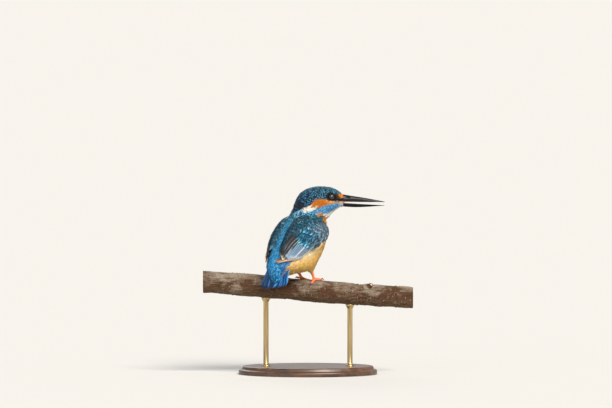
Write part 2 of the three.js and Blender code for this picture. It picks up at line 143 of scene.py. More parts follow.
def make_piece(name, points, faces, finish, slot, replaced=()):
    """A smooth mesh that rides on the model, from points in millimetres and arrays of corners."""
    volume = 0.0
    for polygon in faces:
        for i in range(1, polygon.shape[1] - 1):
            first, second, third = (points[polygon[:, corner]] for corner in (0, i, i + 1))
            volume += np.sum(first * np.cross(second, third))
    if volume < 0:
        faces = [polygon[:, ::-1] for polygon in faces]
    mesh = bpy.data.meshes.new(name)
    corners = np.concatenate([polygon.ravel() for polygon in faces]).astype(np.int32)
    sizes = np.concatenate([np.full(len(polygon), polygon.shape[1]) for polygon in faces])
    mesh.vertices.add(len(points))
    mesh.vertices.foreach_set("co", (points * MM).astype(np.float32).ravel())
    mesh.loops.add(len(corners))
    mesh.loops.foreach_set("vertex_index", corners)
    mesh.polygons.add(len(sizes))
    mesh.polygons.foreach_set("loop_start", (np.cumsum(sizes) - sizes).astype(np.int32))
    mesh.update(calc_edges=True)
    mesh.shade_smooth()
    mesh.materials.append(finish)
    piece = bpy.data.objects.new(name, mesh)
    bpy.context.scene.collection.objects.link(piece)
    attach(piece, "root")
    if replaced:
        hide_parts(*replaced)
    return piece


walnut = new_finish("waxed_walnut", Roughness=0.42, Coat_Weight=0.25, Coat_Roughness=0.3)
figure, pores = grain(walnut, 14, (1, 9, 9), 6), grain(walnut, 160, (0.12, 3, 3), 3)
wood = ramp(
    walnut, figure, (0.3, (0.028, 0.012, 0.006)), (0.5, (0.085, 0.038, 0.018)), (0.7, (0.15, 0.075, 0.036))
)
fine = ramp(walnut, pores, (0.38, (0.45, 0.42, 0.4)), (0.52, (1, 1, 1)))
connect(walnut, Base_Color=darkened(walnut, wood, fine, 0.8), Normal=relief(walnut, pores, 0.0003, 0.3))
base_outline = [(base_half[0] - inset, base_half[1] - inset, height) for inset, height in base_profile]
make_piece("stand_base_walnut", *turned(base_outline, 160), walnut, "walnut", ["stand_base"])

# ---------------------------------------------------------------- brass rods
# Two drawn brass rods, each with a thin turned collar where it enters the base and a small cup
# under the branch. They are brushed lengthwise and left to dull.
rod_radius, rod_places = 2.5, (-40.0, 40.0)
perch_slope = 0.0745


def perch_axis(x):
    return 80.2 - perch_slope * x - 0.6 * np.sin((x + 20) / 35)


def perch_radius(x):
    return 10.6 - 0.0035 * x - 0.00003 * x * x + 0.2 * np.sin(x / 11)


brass = new_finish("aged_brass", Metallic=1.0, Roughness=0.33)
brushing = grain(brass, 60, (14, 14, 0.6), 3)
brass_tone = ramp(brass, brushing, (0.3, (0.36, 0.24, 0.1)), (0.7, (0.66, 0.5, 0.26)))
connect(brass, Base_Color=brass_tone, Normal=relief(brass, brushing, 0.0002, 0.25))
collar = [(1.0, 7.0), (4.2, 7.4), (4.2, 8.5), (3.9, 8.9), (3.1, 9.2), (2.75, 9.8), (rod_radius, 10.3)]
cup = [(rod_radius, -4.5), (2.8, -3.4), (3.6, -1.9), (4.3, -0.5), (4.1, 0.9), (1, 1.2)]
for number, rod_x in enumerate(rod_places, 1):
    rod_top = float(perch_axis(rod_x) - perch_radius(rod_x))
    outline = collar + [(rod_radius, 30)] + [(radius, rod_top + height) for radius, height in cup]
    rod = turned([(radius, radius, height) for radius, height in outline], 48, rod_x)
    make_piece(f"stand_rod_{number}_brass", *rod, brass, "brass", [f"stand_rod_{number}"])

# ---------------------------------------------------------------- perch
# A length of an old branch with its bark on, a little crooked, sawn square at both ends. It has
# raised pores across the bark, a faint ring where each year's growth began, and a side shoot's stump.
perch_half, perch_steps, perch_sides = 100.0, 460, 120
growth_rings, bark_pores = (-71.0, -22.0, 47.0, 83.0), 420
shoot_place, shoot_angle = 58.0, math.radians(-38)
shoot_path = [  # how far along the branch, how far out of it, and radius
    (-3.0, -4.0, 4.6), (-1.8, -0.6, 4.3), (-0.6, 0.4, 3.6), (0.6, 1.4, 2.7), (1.6, 2.5, 2.1), (2.4, 3.4, 1.8),
]
under, upper, pale = np.array([(0.075, 0.034, 0.015), (0.27, 0.22, 0.17), (0.42, 0.37, 0.30)])
sawn_wood, pith = np.array([(0.42, 0.27, 0.14), (0.1, 0.05, 0.02)])


def perch_point(x, angle, out):
    radius = perch_radius(x) + out
    return xyz(x, radius * np.sin(angle), perch_axis(x) + radius * np.cos(angle))


def roughness_of(points, scale, octaves=3):
    """A rolling noise from -1 to 1 at each point."""
    flat = (np.asarray(points).reshape(-1, 3) * scale).tolist()
    values = [noise.fractal(Vector(p), 0.7, 2.1, octaves) for p in flat]
    return np.array(values).reshape(np.shape(points)[:-1])


def falling(value, end, width):
    """1 up to an end less a width, and 0 from the end on."""
    return np.clip((end - value) / width, 0, 1)


def hump(value, width):
    """1 at nought, falling off evenly to both sides."""
    return np.exp(-((value / width) ** 2))


def paint_over(colour, new, share):
    """A colour over another, as far as the share says at each point."""
    return colour + np.subtract(new, colour) * np.asarray(share)[..., None]


def joined(parts):
    """Several bodies' points and faces as one."""
    start, points, faces = 0, [], {}
    for part_points, part_faces in parts:
        points.append(part_points)
        for polygon in part_faces:
            faces.setdefault(polygon.shape[1], []).append(polygon + start)
        start += len(part_points)
    return np.vstack(points), [np.vstack(polygons) for polygons in faces.values()]


def tint(piece, colours):
    """Gives each point of a piece its colour."""
    layer = piece.data.color_attributes.new("tint", "FLOAT_COLOR", "POINT")
    full = np.ones((len(piece.data.vertices), 4), np.float32)
    full[:, :3] = colours
    layer.data.foreach_set("color", full.ravel())


def tint_of(finish):
    return wire(finish, "ShaderNodeVertexColor", layer_name="tint").outputs["Color"]


chance = np.random.default_rng(11)
steps_along = np.linspace(-perch_half, perch_half, perch_steps)
place, angle = np.meshgrid(steps_along, full_turn(perch_sides), indexing="ij")
plain = perch_point(place, angle, 0)
furrows, lumps = roughness_of(plain * (0.25, 1, 1), 0.55), roughness_of(plain, 0.07, 2)
swelling = 0.28 * furrows + 0.55 * lumps + 0.12 * roughness_of(plain * (0.6, 1, 1), 1.6, 2)
for ring_place in growth_rings:
    wavy = place - ring_place - 0.8 * np.sin(angle * 2 + ring_place)
    swelling += 0.42 * hump(wavy, 0.9) - 0.2 * hump(wavy - 1.8, 0.8)
pore_tone = np.zeros_like(swelling)
for _ in range(bark_pores):
    pore_x, pore_angle = chance.uniform(-98, 98), chance.uniform(0, 2 * math.pi)
    size, gap = chance.uniform(0.35, 0.8), (angle - pore_angle + math.pi) % (2 * math.pi) - math.pi
    shape = np.exp(-(((place - pore_x) / (0.42 * size)) ** 2) - (gap * 10.5 / (1.3 * size)) ** 2)
    swelling += 0.3 * size * shape
    pore_tone = np.maximum(pore_tone, shape)
swelling *= falling(np.abs(place), perch_half, 1.5)
skinned = perch_point(place, angle, swelling - 0.1)

inward = np.linspace(1, 0.02, 26)[1:]  # rings of points on the sawn ends, as shares of the radius
ends = []
for end, order in ((0, -1), (-1, 1)):
    rim = skinned[end]
    middle = rim.mean(0)
    grow = 1 - 0.02 * roughness_of(rim * 0.3, 1.0)
    rings = np.stack([middle + (rim - middle) * s * np.where(s < 0.9, grow, 1)[:, None] for s in inward])
    saw_marks = 0.05 * np.sin(rings[..., 2] * 5.2) * (inward < 0.95)[:, None]
    rings[..., 0] = rim[:, 0].mean() + order * saw_marks
    ends.append(rings)

rise = np.array([0.55, 0.84 * math.sin(shoot_angle), 0.84 * math.cos(shoot_angle)])
rise /= np.linalg.norm(rise)
level = np.cross(rise, (0, 0, 1.0))
level /= np.linalg.norm(level)
upward, shoot_turn = np.cross(level, rise), full_turn(36)[:, None]
shoot_rings = []
for ahead, out, radius in shoot_path:
    centre = perch_point(shoot_place + ahead, shoot_angle, out)
    ring = centre + radius * (np.cos(shoot_turn) * level + np.sin(shoot_turn) * upward)
    shoot_rings.append(ring + rise * 0.25 * roughness_of(ring, 0.9)[:, None])
top = shoot_rings[-1]
shoot_rings += [top.mean(0) + (top - top.mean(0)) * share - rise * 0.25 for share in (0.82, 0.5, 0.2)]
branch = wrapped(np.concatenate([ends[0][::-1], skinned, ends[1]]))

bark = new_finish("old_bark", Roughness=0.88, Specular_IOR_Level=0.25)
bark_tone = tint_of(bark)
speckle, cracks = grain(bark, 1500, (0.5, 1, 1), 6), grain(bark, 520, (0.22, 1.5, 1.5), 8)
mottle = ramp(bark, speckle, (0.35, (0.5, 0.47, 0.44)), (0.62, (1.25, 1.25, 1.22)))
darker = ramp(bark, cracks, (0.36, (0.45, 0.4, 0.36)), (0.5, (1, 1, 1)))
height = wire(bark, "ShaderNodeMath", {0: speckle, 1: cracks}, operation="ADD").outputs[0]
bark_tone = darkened(bark, darkened(bark, bark_tone, mottle, 0.75), darker, 0.6)
connect(bark, Base_Color=bark_tone, Normal=relief(bark, height, 0.0008, 0.9))

perch = make_piece("perch_branch", *joined([branch, wrapped(shoot_rings)]), bark, "bark", ["perch"])
# Painted light: the bark is paled towards the top of the branch as if lit from above, mixed with its own
# lumps and furrows.
painted_light_and_lumps = np.clip(0.5 + 0.3 * np.cos(angle) + 0.35 * lumps + 0.25 * furrows, 0, 1)
bark_colour = paint_over(under, upper, np.clip(painted_light_and_lumps * 2.1 - 1.0, 0, 1))
# Painted light: the underside is made a little lighter and warmer, as if lit from the floor.
bark_colour = bark_colour + 0.06 * np.clip(-np.cos(angle), 0, 1)[..., None] * (1, 0.75, 0.45)
bark_colour = paint_over(bark_colour, pale, 0.6 * pore_tone)
share = inward[:, None, None]
years = 0.5 + 0.5 * np.cos(share * 46)
end_tone = sawn_wood * (0.75 + 0.25 * years) * np.ones((1, perch_sides, 1))
end_tone = np.where(share < 0.08, pith, np.where(share > 0.9, under * 0.8, end_tone))
perch_tint = np.concatenate([end_tone[::-1], bark_colour, end_tone]).reshape(-1, 3)
shoot_tint = np.repeat([upper] * 3 + [under] * 4 + [pale * 1.3, pale * 1.5], 36, axis=0)
tint(perch, np.vstack([perch_tint, under * 0.8, under * 0.8, shoot_tint, upper, pale * 1.4]))

# ---------------------------------------------------------------- feet and claws
# Small weak feet: a short bare shank and four toes, the outer two joined at their base. They are
# covered with fine coral-red scales, ringed on top and padded beneath; the claws are dark horn.
body_yaw, foot_heading = math.radians(45), math.radians(52)
legs = {  # which side, and the ankle and the foot in the body's own heading
    "right": (1, (-3.6, 8.2, 98.4), (0.8, 7.4)),
    "left": (-1, (-6.8, -7.6, 98.4), (-2.2, -6.4)),
}
toes = {"inner": (-26, 7.5), "middle": (0, 10.5), "outer": (15, 9.5), "hind": (172, 6.2)}  # turn, length
toe_radius, claw_length = 1.15, 3.3
coral, crease_shade_red = (0.78, 0.17, 0.055), (0.36, 0.05, 0.02)


def bird(ahead, right, height):
    """A place given in the body's own heading."""
    cos, sin = math.cos(body_yaw), math.sin(body_yaw)
    return xyz(ahead * cos + right * sin, ahead * sin - right * cos, height)


def over_perch(foot, heading, walked, out):
    """A place reached by walking over the branch from a foot."""
    x = foot[0] + walked * math.cos(heading)
    start = np.arcsin(foot[1] / perch_radius(x))
    return perch_point(x, start + walked * math.sin(heading) / perch_radius(x), out)


def unit(vectors):
    return vectors / np.maximum(np.linalg.norm(vectors, axis=-1, keepdims=True), 1e-9)


def off_perch(path):
    return unit(path - xyz(path[:, 0], 0, perch_axis(path[:, 0])))


def along_path(path, radii, upward, sides, flat=1.0, ribs=np.ones((1, 1))):
    """Rings of points square to a path. upward is the side that gets the ribs."""
    heading = unit(np.gradient(path, axis=0))
    side = unit(np.cross(heading, upward))
    top = np.cross(side, heading)
    cos, sin = np.cos(full_turn(sides))[:, None], np.sin(full_turn(sides))[:, None]
    reach = radii[:, None, None] * ribs[..., None]
    return path[:, None] + reach * (cos * side[:, None] + flat * sin * top[:, None])


def scaly(path, radii, upward, sides, flat, saw, curve, ribbing, gap, pads=0):
    """A limb ringed with scales, and how deep in a crease between them each of its points lies, for the shade
    painted there.
    """
    front = np.clip(np.sin(full_turn(sides)), 0, 1) ** curve
    ribs = 1 + ribbing * (0.6 - saw)[:, None] * front + pads
    crease = falling(np.minimum(saw, 1 - saw), gap, gap)[:, None] * front
    return wrapped(along_path(path, radii, upward, sides, flat, ribs)), np.append(crease.ravel(), [0, 0])


scaled = new_finish(
    "coral_scales", Roughness=0.5, Subsurface_Weight=0.12, Specular_IOR_Level=0.45,
    Subsurface_Radius=(0.001, 0.0004, 0.0002),
)
scale_tone, scale_cells = tint_of(scaled), grain(scaled, 2600, kind="Voronoi")
soften = ramp(scaled, scale_cells, (0.0, (0.72, 0.66, 0.62)), (0.5, (1.1, 1.1, 1.1)))
scale_tone = darkened(scaled, scale_tone, soften, 0.6)
connect(scaled, Base_Color=scale_tone, Normal=relief(scaled, scale_cells, 0.0002, 0.5))
claw_horn = new_finish("claw_horn", Roughness=0.32, Coat_Weight=0.3)
claw_streaks = grain(claw_horn, 1500, (1, 1, 1), 3)
claw_tone = ramp(claw_horn, claw_streaks, (0.3, (0.012, 0.009, 0.008)), (0.7, (0.05, 0.032, 0.024)))
connect(claw_horn, Base_Color=claw_tone)

for side_name, (sign, ankle_place, foot_place) in legs.items():
    foot, ankle = bird(*foot_place, 0.0), bird(*ankle_place)
    sole = over_perch(foot, 0.0, 0.0, 1.1)
    share = np.linspace(0, 1, 40)
    s = share[:, None]
    bend = ankle * 0.5 + sole * 0.5 + np.array([0.5, 0.2, 0])
    shank = (1 - s) ** 2 * (ankle + (0, 0, 1.5)) + 2 * s * (1 - s) * bend + s**2 * sole
    radii = 1.2 + 0.45 * hump(share - 0.02, 0.14) + 0.5 * hump(share - 1, 0.14)
    limbs, claws = [scaly(shank, radii, (0.7, 0.7, 0.2), 20, 1.0, (share * 13) % 1, 0.5, 0.1, 0.16)], []
    for toe_turn, length in toes.values():
        heading = foot_heading - sign * math.radians(toe_turn)
        share = np.linspace(0, 1, 44)
        joints = np.cos(share * 6 * math.pi)
        radii = toe_radius * (1.08 - 0.36 * share) * (1 + 0.09 * joints)
        radii *= np.sqrt(np.clip((1.02 - share) / 0.07, 0.15, 1))
        path = over_perch(foot, heading, -0.8 + (length + 0.8) * share, radii * 0.93)
        pads = np.clip(-np.sin(full_turn(18)), 0, 1) * (0.14 * joints - 0.05)[:, None]
        saw = (share * length * 1.15) % 1
        limbs.append(scaly(path, radii, off_perch(path), 18, 0.92, saw, 0.6, 0.13, 0.18, pads))
        share = np.linspace(0, 1, 18)
        out = 0.95 - 0.75 * share + 1.25 * np.sin(math.pi * share**0.85) * 0.75
        path = over_perch(foot, heading, length - 0.7 + claw_length * share, out)
        claws.append(wrapped(along_path(path, 0.66 * (1 - share) ** 0.75 + 0.05, off_perch(path), 14, 1.15)))
    bodies, crease_shades = zip(*limbs)
    foot_node = f"foot_{side_name}"
    piece = make_piece(f"{foot_node}_scaled", *joined(bodies), scaled, "coral_skin", [foot_node])
    # Painted shade: the creases between the scales are tinted a darker red.
    tint(piece, paint_over(np.array(coral), crease_shade_red, np.concatenate(crease_shades)))
    claw_nodes = [f"claw_{side_name}_{toe_name}" for toe_name in toes]
    make_piece(f"claws_{side_name}", *joined(claws), claw_horn, "horn", claw_nodes)

# ---------------------------------------------------------------- skin
# The whole body in one skin from the bill's root to the tail, over the flesh of the head, neck,
# trunk, folded wings and thighs. It lies below the flesh's outline by the depth of the feathers.
neck_height = 148.0  # where the head's coat begins
skin_nodes = ["head", "neck", "trunk", "leg_right", "leg_left"]
skin_nodes += [f"wing_{side}_{part}" for side in ("right", "left") for part in ("coverts", "scapulars")]
closing = 0.45  # how far each body of flesh is swollen so that the parting cuts close
voxel = 0.8
head_coat, body_coat = 0.55, 1.0  # depth of the feathers
trunk_slices = [  # back: ahead and height; belly: ahead and height; half-width
    (-48.5, 93, -40, 89.5, 7), (-50.8, 100, -31, 93.5, 11), (-50.3, 106, -19, 95.8, 16.5),
    (-47.1, 112.7, -5, 97.5, 20.5), (-43.5, 120, 4, 104.5, 23), (-39.5, 127.1, 10.5, 115, 24.3),
    (-36, 133, 15.5, 126, 23.9), (-32.3, 139.3, 18.3, 136, 22), (-28.5, 145, 18, 144.5, 18.2),
    (-23, 150.5, 14, 151.5, 12.8), (-16, 155, 8, 156, 9),
]
# The wing's lower edge from wrist to tip: hundredths along the trunk and degrees round it.
lower_edge = (80, 112), (74.5, 123), (66, 122), (50, 104), (40, 85), (33, 64), (21.5, 41)


def smooth_line(rows):
    """A curve that passes smoothly through rows of numbers, read at a share of its length."""
    rows = np.array(rows, float)
    knots = np.vstack([2 * rows[0] - rows[1], rows, 2 * rows[-1] - rows[-2]])

    def at(share):
        place = np.clip(np.asarray(share, float), 0, 1) * (len(rows) - 1)
        i = np.minimum(place.astype(int), len(rows) - 2)
        w = (place - i)[..., None]
        p0, p1, p2, p3 = (knots[i + k] for k in range(4))
        gaps = [np.sum((b - a) ** 2, -1, keepdims=True) ** 0.25 for a, b in ((p0, p1), (p1, p2), (p2, p3))]
        t0, t1, t2 = (np.maximum(gap, 1e-3) for gap in gaps)
        m1 = ((p1 - p0) / t0 - (p2 - p0) / (t0 + t1) + (p2 - p1) / t1) * t1
        m2 = ((p2 - p1) / t1 - (p3 - p1) / (t1 + t2) + (p3 - p2) / t2) * t1
        return p1 + w * m1 + w**2 * (3 * (p2 - p1) - 2 * m1 - m2) + w**3 * (2 * (p1 - p2) + m1 + m2)

    return at


def lines_of(slices):
    """Smooth lines along the top and the bottom of a row of slices; the top's has the half-width."""
    top, bottom = [(s[0], s[1], s[4]) for s in slices], [(s[2], s[3], 0) for s in slices]
    return smooth_line(top), smooth_line(bottom)


body_lines, wing_low = lines_of(trunk_slices), smooth_line(lower_edge)


def slice_of(ahead, aside, height, lines):
    """The share along a row of slices and the angle round from the top, of each point."""
    shares = np.linspace(0, 1, 150)
    top, bottom = (line(shares) for line in lines)
    spread = top[:, :2] - bottom[:, :2]
    half = np.linalg.norm(spread, axis=1) / 2
    rise = spread / (2 * half[:, None])
    gap = np.stack([ahead, height], -1)[:, None] - (top[:, :2] + bottom[:, :2])[None] / 2
    up = np.sum(gap * rise, -1)
    off = gap[..., 0] * rise[:, 1] - gap[..., 1] * rise[:, 0]
    best = np.argmin(off**2 + np.maximum(np.abs(up) - half, 0) ** 2, axis=1)
    lift = up[np.arange(len(best)), best] / half[best]
    return shares[best], np.arctan2(aside / top[best, 2], lift)


def in_body(points):
    """Distance ahead, distance right and height in the body's own heading."""
    cos, sin = math.cos(body_yaw), math.sin(body_yaw)
    return points[:, 0] * cos + points[:, 1] * sin, points[:, 0] * sin - points[:, 1] * cos, points[:, 2]


def rising(value, start, width):
    """0 up to a start, and 1 from there plus a width on."""
    return np.clip((value - start) / width, 0, 1)


def share_of_head(points):
    """1 on the head, 0 on the body, and between them on the neck."""
    return rising(points[:, 2] + 0.3 * points[:, 0] - 0.06 * points[:, 1], neck_height, 10)


def read_rows(items, attribute, width, kind=np.float32):
    """One attribute of all the points, corners or triangles of a mesh, as rows of numbers."""
    values = np.empty(len(items) * width, kind)
    items.foreach_get(attribute, values)
    return values.reshape(-1, width)


def shape_of(piece):
    bpy.context.view_layer.update()
    return piece.evaluated_get(bpy.context.evaluated_depsgraph_get())


def settle(piece):
    """Fixes a piece's modifiers into its mesh; gives the mesh, its points and their outward ways."""
    shape = bpy.data.meshes.new_from_object(shape_of(piece))
    piece.modifiers.clear()
    piece.data = shape
    shape.materials.clear()
    shape.materials.append(skin_finish)
    shape.shade_smooth()
    return shape, read_rows(shape.vertices, "co", 3) / MM, read_rows(shape.vertices, "normal", 3)


def add_modifier(piece, kind, **settings):
    modifier = piece.modifiers.new(kind.lower(), kind)
    for key, value in settings.items():
        setattr(modifier, key, value)


bodies = []
for node in skin_nodes:
    copy = bpy.data.objects.new(f"flesh_{node}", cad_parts[node].data.copy())
    bpy.context.scene.collection.objects.link(copy)
    add_modifier(copy, "WELD", merge_threshold=1e-6)
    add_modifier(copy, "DISPLACE", strength=closing * MM, mid_level=0)
    shape = shape_of(copy).to_mesh()
    shape.calc_loop_triangles()
    triangles = read_rows(shape.loop_triangles, "vertices", 3, np.int32)
    bodies.append((read_rows(shape.vertices, "co", 3) / MM, [triangles]))
    bpy.data.objects.remove(copy)

skin_finish = new_finish("bare_skin", Roughness=0.8, Specular_IOR_Level=0.2)
skin = make_piece("body_skin", *joined(bodies), skin_finish, "plumage_dark", skin_nodes)
add_modifier(skin, "REMESH", mode="VOXEL", voxel_size=voxel * MM)
add_modifier(skin, "SMOOTH", factor=0.5, iterations=12)
fused, flesh, outward = settle(skin)
# The ledge of flesh along each wing's lower edge is smoothed away, so that feathers lie over it.
along, angle = slice_of(*in_body(flesh), body_lines)
edge_places = wing_low(np.linspace(1, 0, 60))
edge_angle = np.interp(along, edge_places[:, 0] / 100, edge_places[:, 1])
by_edge = hump(np.abs(np.degrees(angle)) - edge_angle, 11) * (along > 0.28) * (along < 0.82)
under_wing = skin.vertex_groups.new(name="under_wing")
for number in np.flatnonzero(by_edge > 0.05).tolist():
    under_wing.add([number], float(by_edge[number]), "REPLACE")
add_modifier(skin, "SMOOTH", vertex_group="under_wing", factor=0.6, iterations=160)
fused, flesh, outward = settle(skin)
skin.vertex_groups.clear()

depth = body_coat + (head_coat - body_coat) * share_of_head(flesh)
depth = depth * (1 - 0.85 * hump(flesh[:, 2] - 148.5, 5) * rising(flesh[:, 0], 8, 5))
flesh = flesh - outward * (closing + depth)[:, None]
fused.vertices.foreach_set("co", (flesh * MM).astype(np.float32).ravel())
fused.update()

# The markings of the plumage, the same for the skin and for every feather on it. A cap of dark
# blue, spotted with turquoise; orange ear patch and lores; a white patch behind the cheek; a blue
# whisker stripe over a white throat; an azure stripe down the back; orange beneath. Painted light
# is mixed in too: a cream highlight on the belly's sides, and pale blue sheen and glints on the
# mantle below the nape and behind the white patch.
azure_top, azure_rump, azure_spot = np.array([(0.003, 0.13, 0.24), (0.004, 0.21, 0.50), (0.08, 0.14, 0.14)])
cap_dark, nape_dark, cap_spot, nape_spot = np.array(
    [(0.003, 0.018, 0.036), (0.002, 0.008, 0.020), (0.22, 0.74, 0.98), (0.008, 0.14, 0.34)]
)
mantle_teal, mantle_spot = np.array([(0.003, 0.085, 0.125), (0.26, 0.72, 0.88)])
flank_blue, flank_spot = (0.006, 0.13, 0.42), (0.14, 0.52, 0.92)
whisker_blue, whisker_spot, gape_silver = (0.03, 0.23, 0.52), (0.40, 0.76, 1.0), (0.58, 0.64, 0.68)
ear_orange, under_eye, white_patch = np.array([(0.72, 0.19, 0.018), (0.88, 0.44, 0.13), (0.88, 0.82, 0.68)])
throat_white, eye_black = np.array([(0.96, 0.93, 0.87), (0.004, 0.004, 0.006)])
brow_brown, glint_band_blue, glint_band_spot = (0.06, 0.035, 0.012), (0.06, 0.30, 0.44), (0.55, 0.84, 0.98)
breast_orange, belly_orange = np.array([(0.94, 0.34, 0.045), (0.98, 0.53, 0.13)])
vent_orange, sunlit_belly_cream = (0.96, 0.46, 0.10), (1.0, 0.84, 0.48)
side_edge = (  # share along the trunk, and how far round it the orange begins
    (0, 0.1, 0.2, 0.27, 0.33, 0.4, 0.45, 0.5, 0.55, 0.6, 0.65, 0.75, 0.86, 1),
    (90, 80, 60, 55, 56, 70, 77, 84, 90, 101, 110, 118, 112, 98),
)
cap_edge = (  # X and height, here and below
    (-17, -10.6, -4.2, 2.4, 4.7, 8.5, 16.2, 20, 26.4, 34),
    (152, 155.6, 158.7, 161.2, 164.2, 167.2, 167.3, 165.9, 164.9, 165.2),
)
band_edge = (
    (-17, -10.6, -4.2, 3.4, 7.3, 12.4, 20, 26.4, 34),
    (152, 154.7, 155.1, 155.9, 158.3, 159.9, 162.2, 163.2, 164.2),
)
whisker_edge = (-14, 3, 8.5, 14, 18, 21.3, 27.7, 33), (147, 152, 153.4, 152.8, 153.3, 155.1, 158.9, 161)
collar_edge = (-20, -8, 3, 8, 14, 18, 22, 30), (148, 152.5, 154.2, 153.4, 151.4, 149.8, 148.3, 148)
strip_line = (9, 13, 16.5, 19.5), (154, 151.5, 147.5, 141)


def soft(value, width=0.8):
    return np.clip(value / width + 0.5, 0, 1)


def oval(x, z, centre_x, centre_z, half_x, half_z, edge):
    return soft(1 - ((x - centre_x) / half_x) ** 2 - ((z - centre_z) / half_z) ** 2, edge)


def markings(points):
    """The plain colour, the colour of the spots and how strong they are, at each point."""

    def above(edge, width=0.8):
        return soft(z - np.interp(x, *edge), width)

    def lay(coat, plain, spots, share):
        return paint_over(coat[0], plain, share), paint_over(coat[1], spots, share)

    x, z = points[:, 0], points[:, 2]
    ahead, right, height = in_body(points)
    along, angle = slice_of(ahead, right, height, body_lines)
    angle, low, on_head = np.abs(np.degrees(angle)), falling(z, 150, 55), share_of_head(points)

    # the back and the wings, then the flank, the stripe down the back, and the orange beneath
    coat = lay((mantle_teal, mantle_spot), flank_blue, flank_spot, soft(low - 0.62, 0.1))
    azure = paint_over(azure_top, azure_rump, np.clip(low * 1.25, 0, 1))
    stripe = soft(np.interp(low, (0, 0.35, 0.75, 1), (4.2, 5.6, 8.5, 10)) - np.abs(right), 1.5)
    stripe *= soft(100 - angle, 20)
    coat = lay(coat, azure, azure * 2.2 + azure_spot, stripe)
    spotty = 0.5 + (0.85 - 0.5) * stripe
    side_limit = np.interp(along, *side_edge)
    below = soft(angle - side_limit, 7) * soft(np.maximum(ahead + 41, (height - 105) * 1.5), 2)
    patchy = 0.35 * roughness_of(xyz(ahead, right, height * 0.35), 0.16, 2) if len(points) else 0
    belly = paint_over(belly_orange, breast_orange, np.clip((along - 0.45) / 0.35 + patchy, 0, 1))
    belly = paint_over(belly, vent_orange, falling(along, 0.25, 0.15))
    # Painted highlight: just below the side's edge, midway along the trunk, the orange is paled to cream as
    # if sunlit, alike on both sides.
    belly = paint_over(belly, sunlit_belly_cream, 0.75 * hump(angle - side_limit - 8, 16) * hump(along - 0.45, 0.16))
    coat = lay(coat, belly, belly * 1.1, below)
    spotty = np.where(below > 0.5, 0.25, spotty)

    # the head: throat, whisker stripe, silver by the gape, ear patch, cap, lores and round the eye
    whisker, band_share, cap_share = above(whisker_edge, 1.2), above(band_edge), above(cap_edge)
    face = lay((throat_white, throat_white * 1.08), whisker_blue, whisker_spot, whisker)
    face = lay(face, gape_silver, (0.85, 0.88, 0.90), 0.75 * soft(x - 29.8, 3) * whisker)
    white = soft(161.2 + (x - 7.6) * 0.5 - z, 1.4) * soft(8.6 - x, 3)
    band = paint_over(ear_orange, under_eye, 0.7 * soft(x - 19, 5))
    band = paint_over(band, white_patch, np.maximum(white, soft(3.4 - x, 2)))
    # Painted sheen: behind the white patch the band turns pale blue.
    band = paint_over(band, (0.20, 0.50, 0.68), 0.9 * soft(-5.2 - x, 1.5))
    face = lay(face, band, band * 1.15, band_share)
    forward = rising(x, -12, 40)
    cap_bright = paint_over(nape_spot, cap_spot, forward**1.3)
    face = lay(face, paint_over(nape_dark, cap_dark, forward), cap_bright, cap_share)
    face_spotty = np.where(whisker > 0.5, 0.95, 0.2)
    face_spotty = np.where(cap_share > 0.5, 1.0, face_spotty)
    over_cap = cap_share > 0.2
    brow = oval(x, z, 28, 169.2, 4.2, 2.4, 0.6) * over_cap
    face = paint_over(face[0], brow_brown, 0.85 * brow), paint_over(face[1], (0.2, 0.10, 0.02), brow)
    face = lay(face, ear_orange * 1.05, ear_orange * 1.3, oval(x, z, 32.4, 170.6, 2.9, 2.2, 0.6) * over_cap)
    eye_line = soft(1 - np.abs(z - 167.2 + 0.1 * (x - 24)) / 1.1, 0.5) * soft(x - 21, 2)
    dark = np.maximum(oval(x, z, 22.6, 168.9, 5.1, 3.5, 0.35), eye_line) * over_cap
    face = lay(face, eye_black, eye_black * 2, dark)

    # painted sheen and glints in a pale blue band below the nape, the head over the body, and a
    # strip of orange on the neck's side
    glint_band = hump(on_head - 0.2, 0.15) * (below < 0.5)
    coat = paint_over(coat[0], glint_band_blue, 0.6 * glint_band), paint_over(coat[1], glint_band_spot, glint_band)
    spotty = spotty + (0.95 - spotty) * glint_band
    head = soft(on_head - 0.35, 0.25) * above(collar_edge, 1.5)
    coat = lay(coat, *face, head)
    strip = soft(1.6 - np.abs(z - np.interp(x, *strip_line)), 0.8) * soft(x - 10, 1) * (points[:, 1] < 8)
    coat = lay(coat, breast_orange, breast_orange * 1.1, strip)
    return *coat, spotty + (face_spotty - spotty) * head


pimples = grain(skin_finish, 1800, kind="Voronoi")
connect(skin_finish, Base_Color=tint_of(skin_finish), Normal=relief(skin_finish, pimples, 0.0003, 0.5))
# Painted shade: the skin takes the plumage's markings darkened to three quarters, as the shade deep under the
# feathers.
tint(skin, markings(flesh)[0] * 0.75)

# ---------------------------------------------------------------- bill
# Two long halves of black horn, a little open. The upper has a pinched ridge and a slit of a
# nostril on each side; both are a little greyer at the root, carry a painted highlight of pale
# grey along the cutting edge there, and turn flesh-red towards the corners of the mouth.
bill_sections = {  # X, height of the ridge, height of the cutting edge, half-width
    "upper": [
        (27, 170.6, 164.7, 6.3), (31, 171.4, 164.6, 5.5), (34.5, 171.2, 164.5, 4.6), (42, 170, 164.4, 3.7),
        (50, 168.8, 164.3, 3), (58, 167.4, 164.2, 2.35), (65, 166.1, 164.15, 1.7), (70, 165.2, 164.1, 0.95),
        (73, 164.5, 164.05, 0.25),
    ],
    "lower": [
        (27, 160.4, 163.8, 6), (31, 160.1, 163.55, 5.2), (34.5, 159.8, 163.3, 4.3), (42, 159.3, 162.7, 3.5),
        (50, 159.3, 162.2, 2.8), (58, 159.7, 161.8, 2.1), (65, 160.2, 161.4, 1.4), (70, 160.55, 161.15, 0.8),
        (72.7, 160.75, 161.05, 0.25),
    ],
}
head_plane = -2.0  # Y of the plane that halves the head and the bill
bill_steps, roof_steps, palate_steps = 130, 40, 15
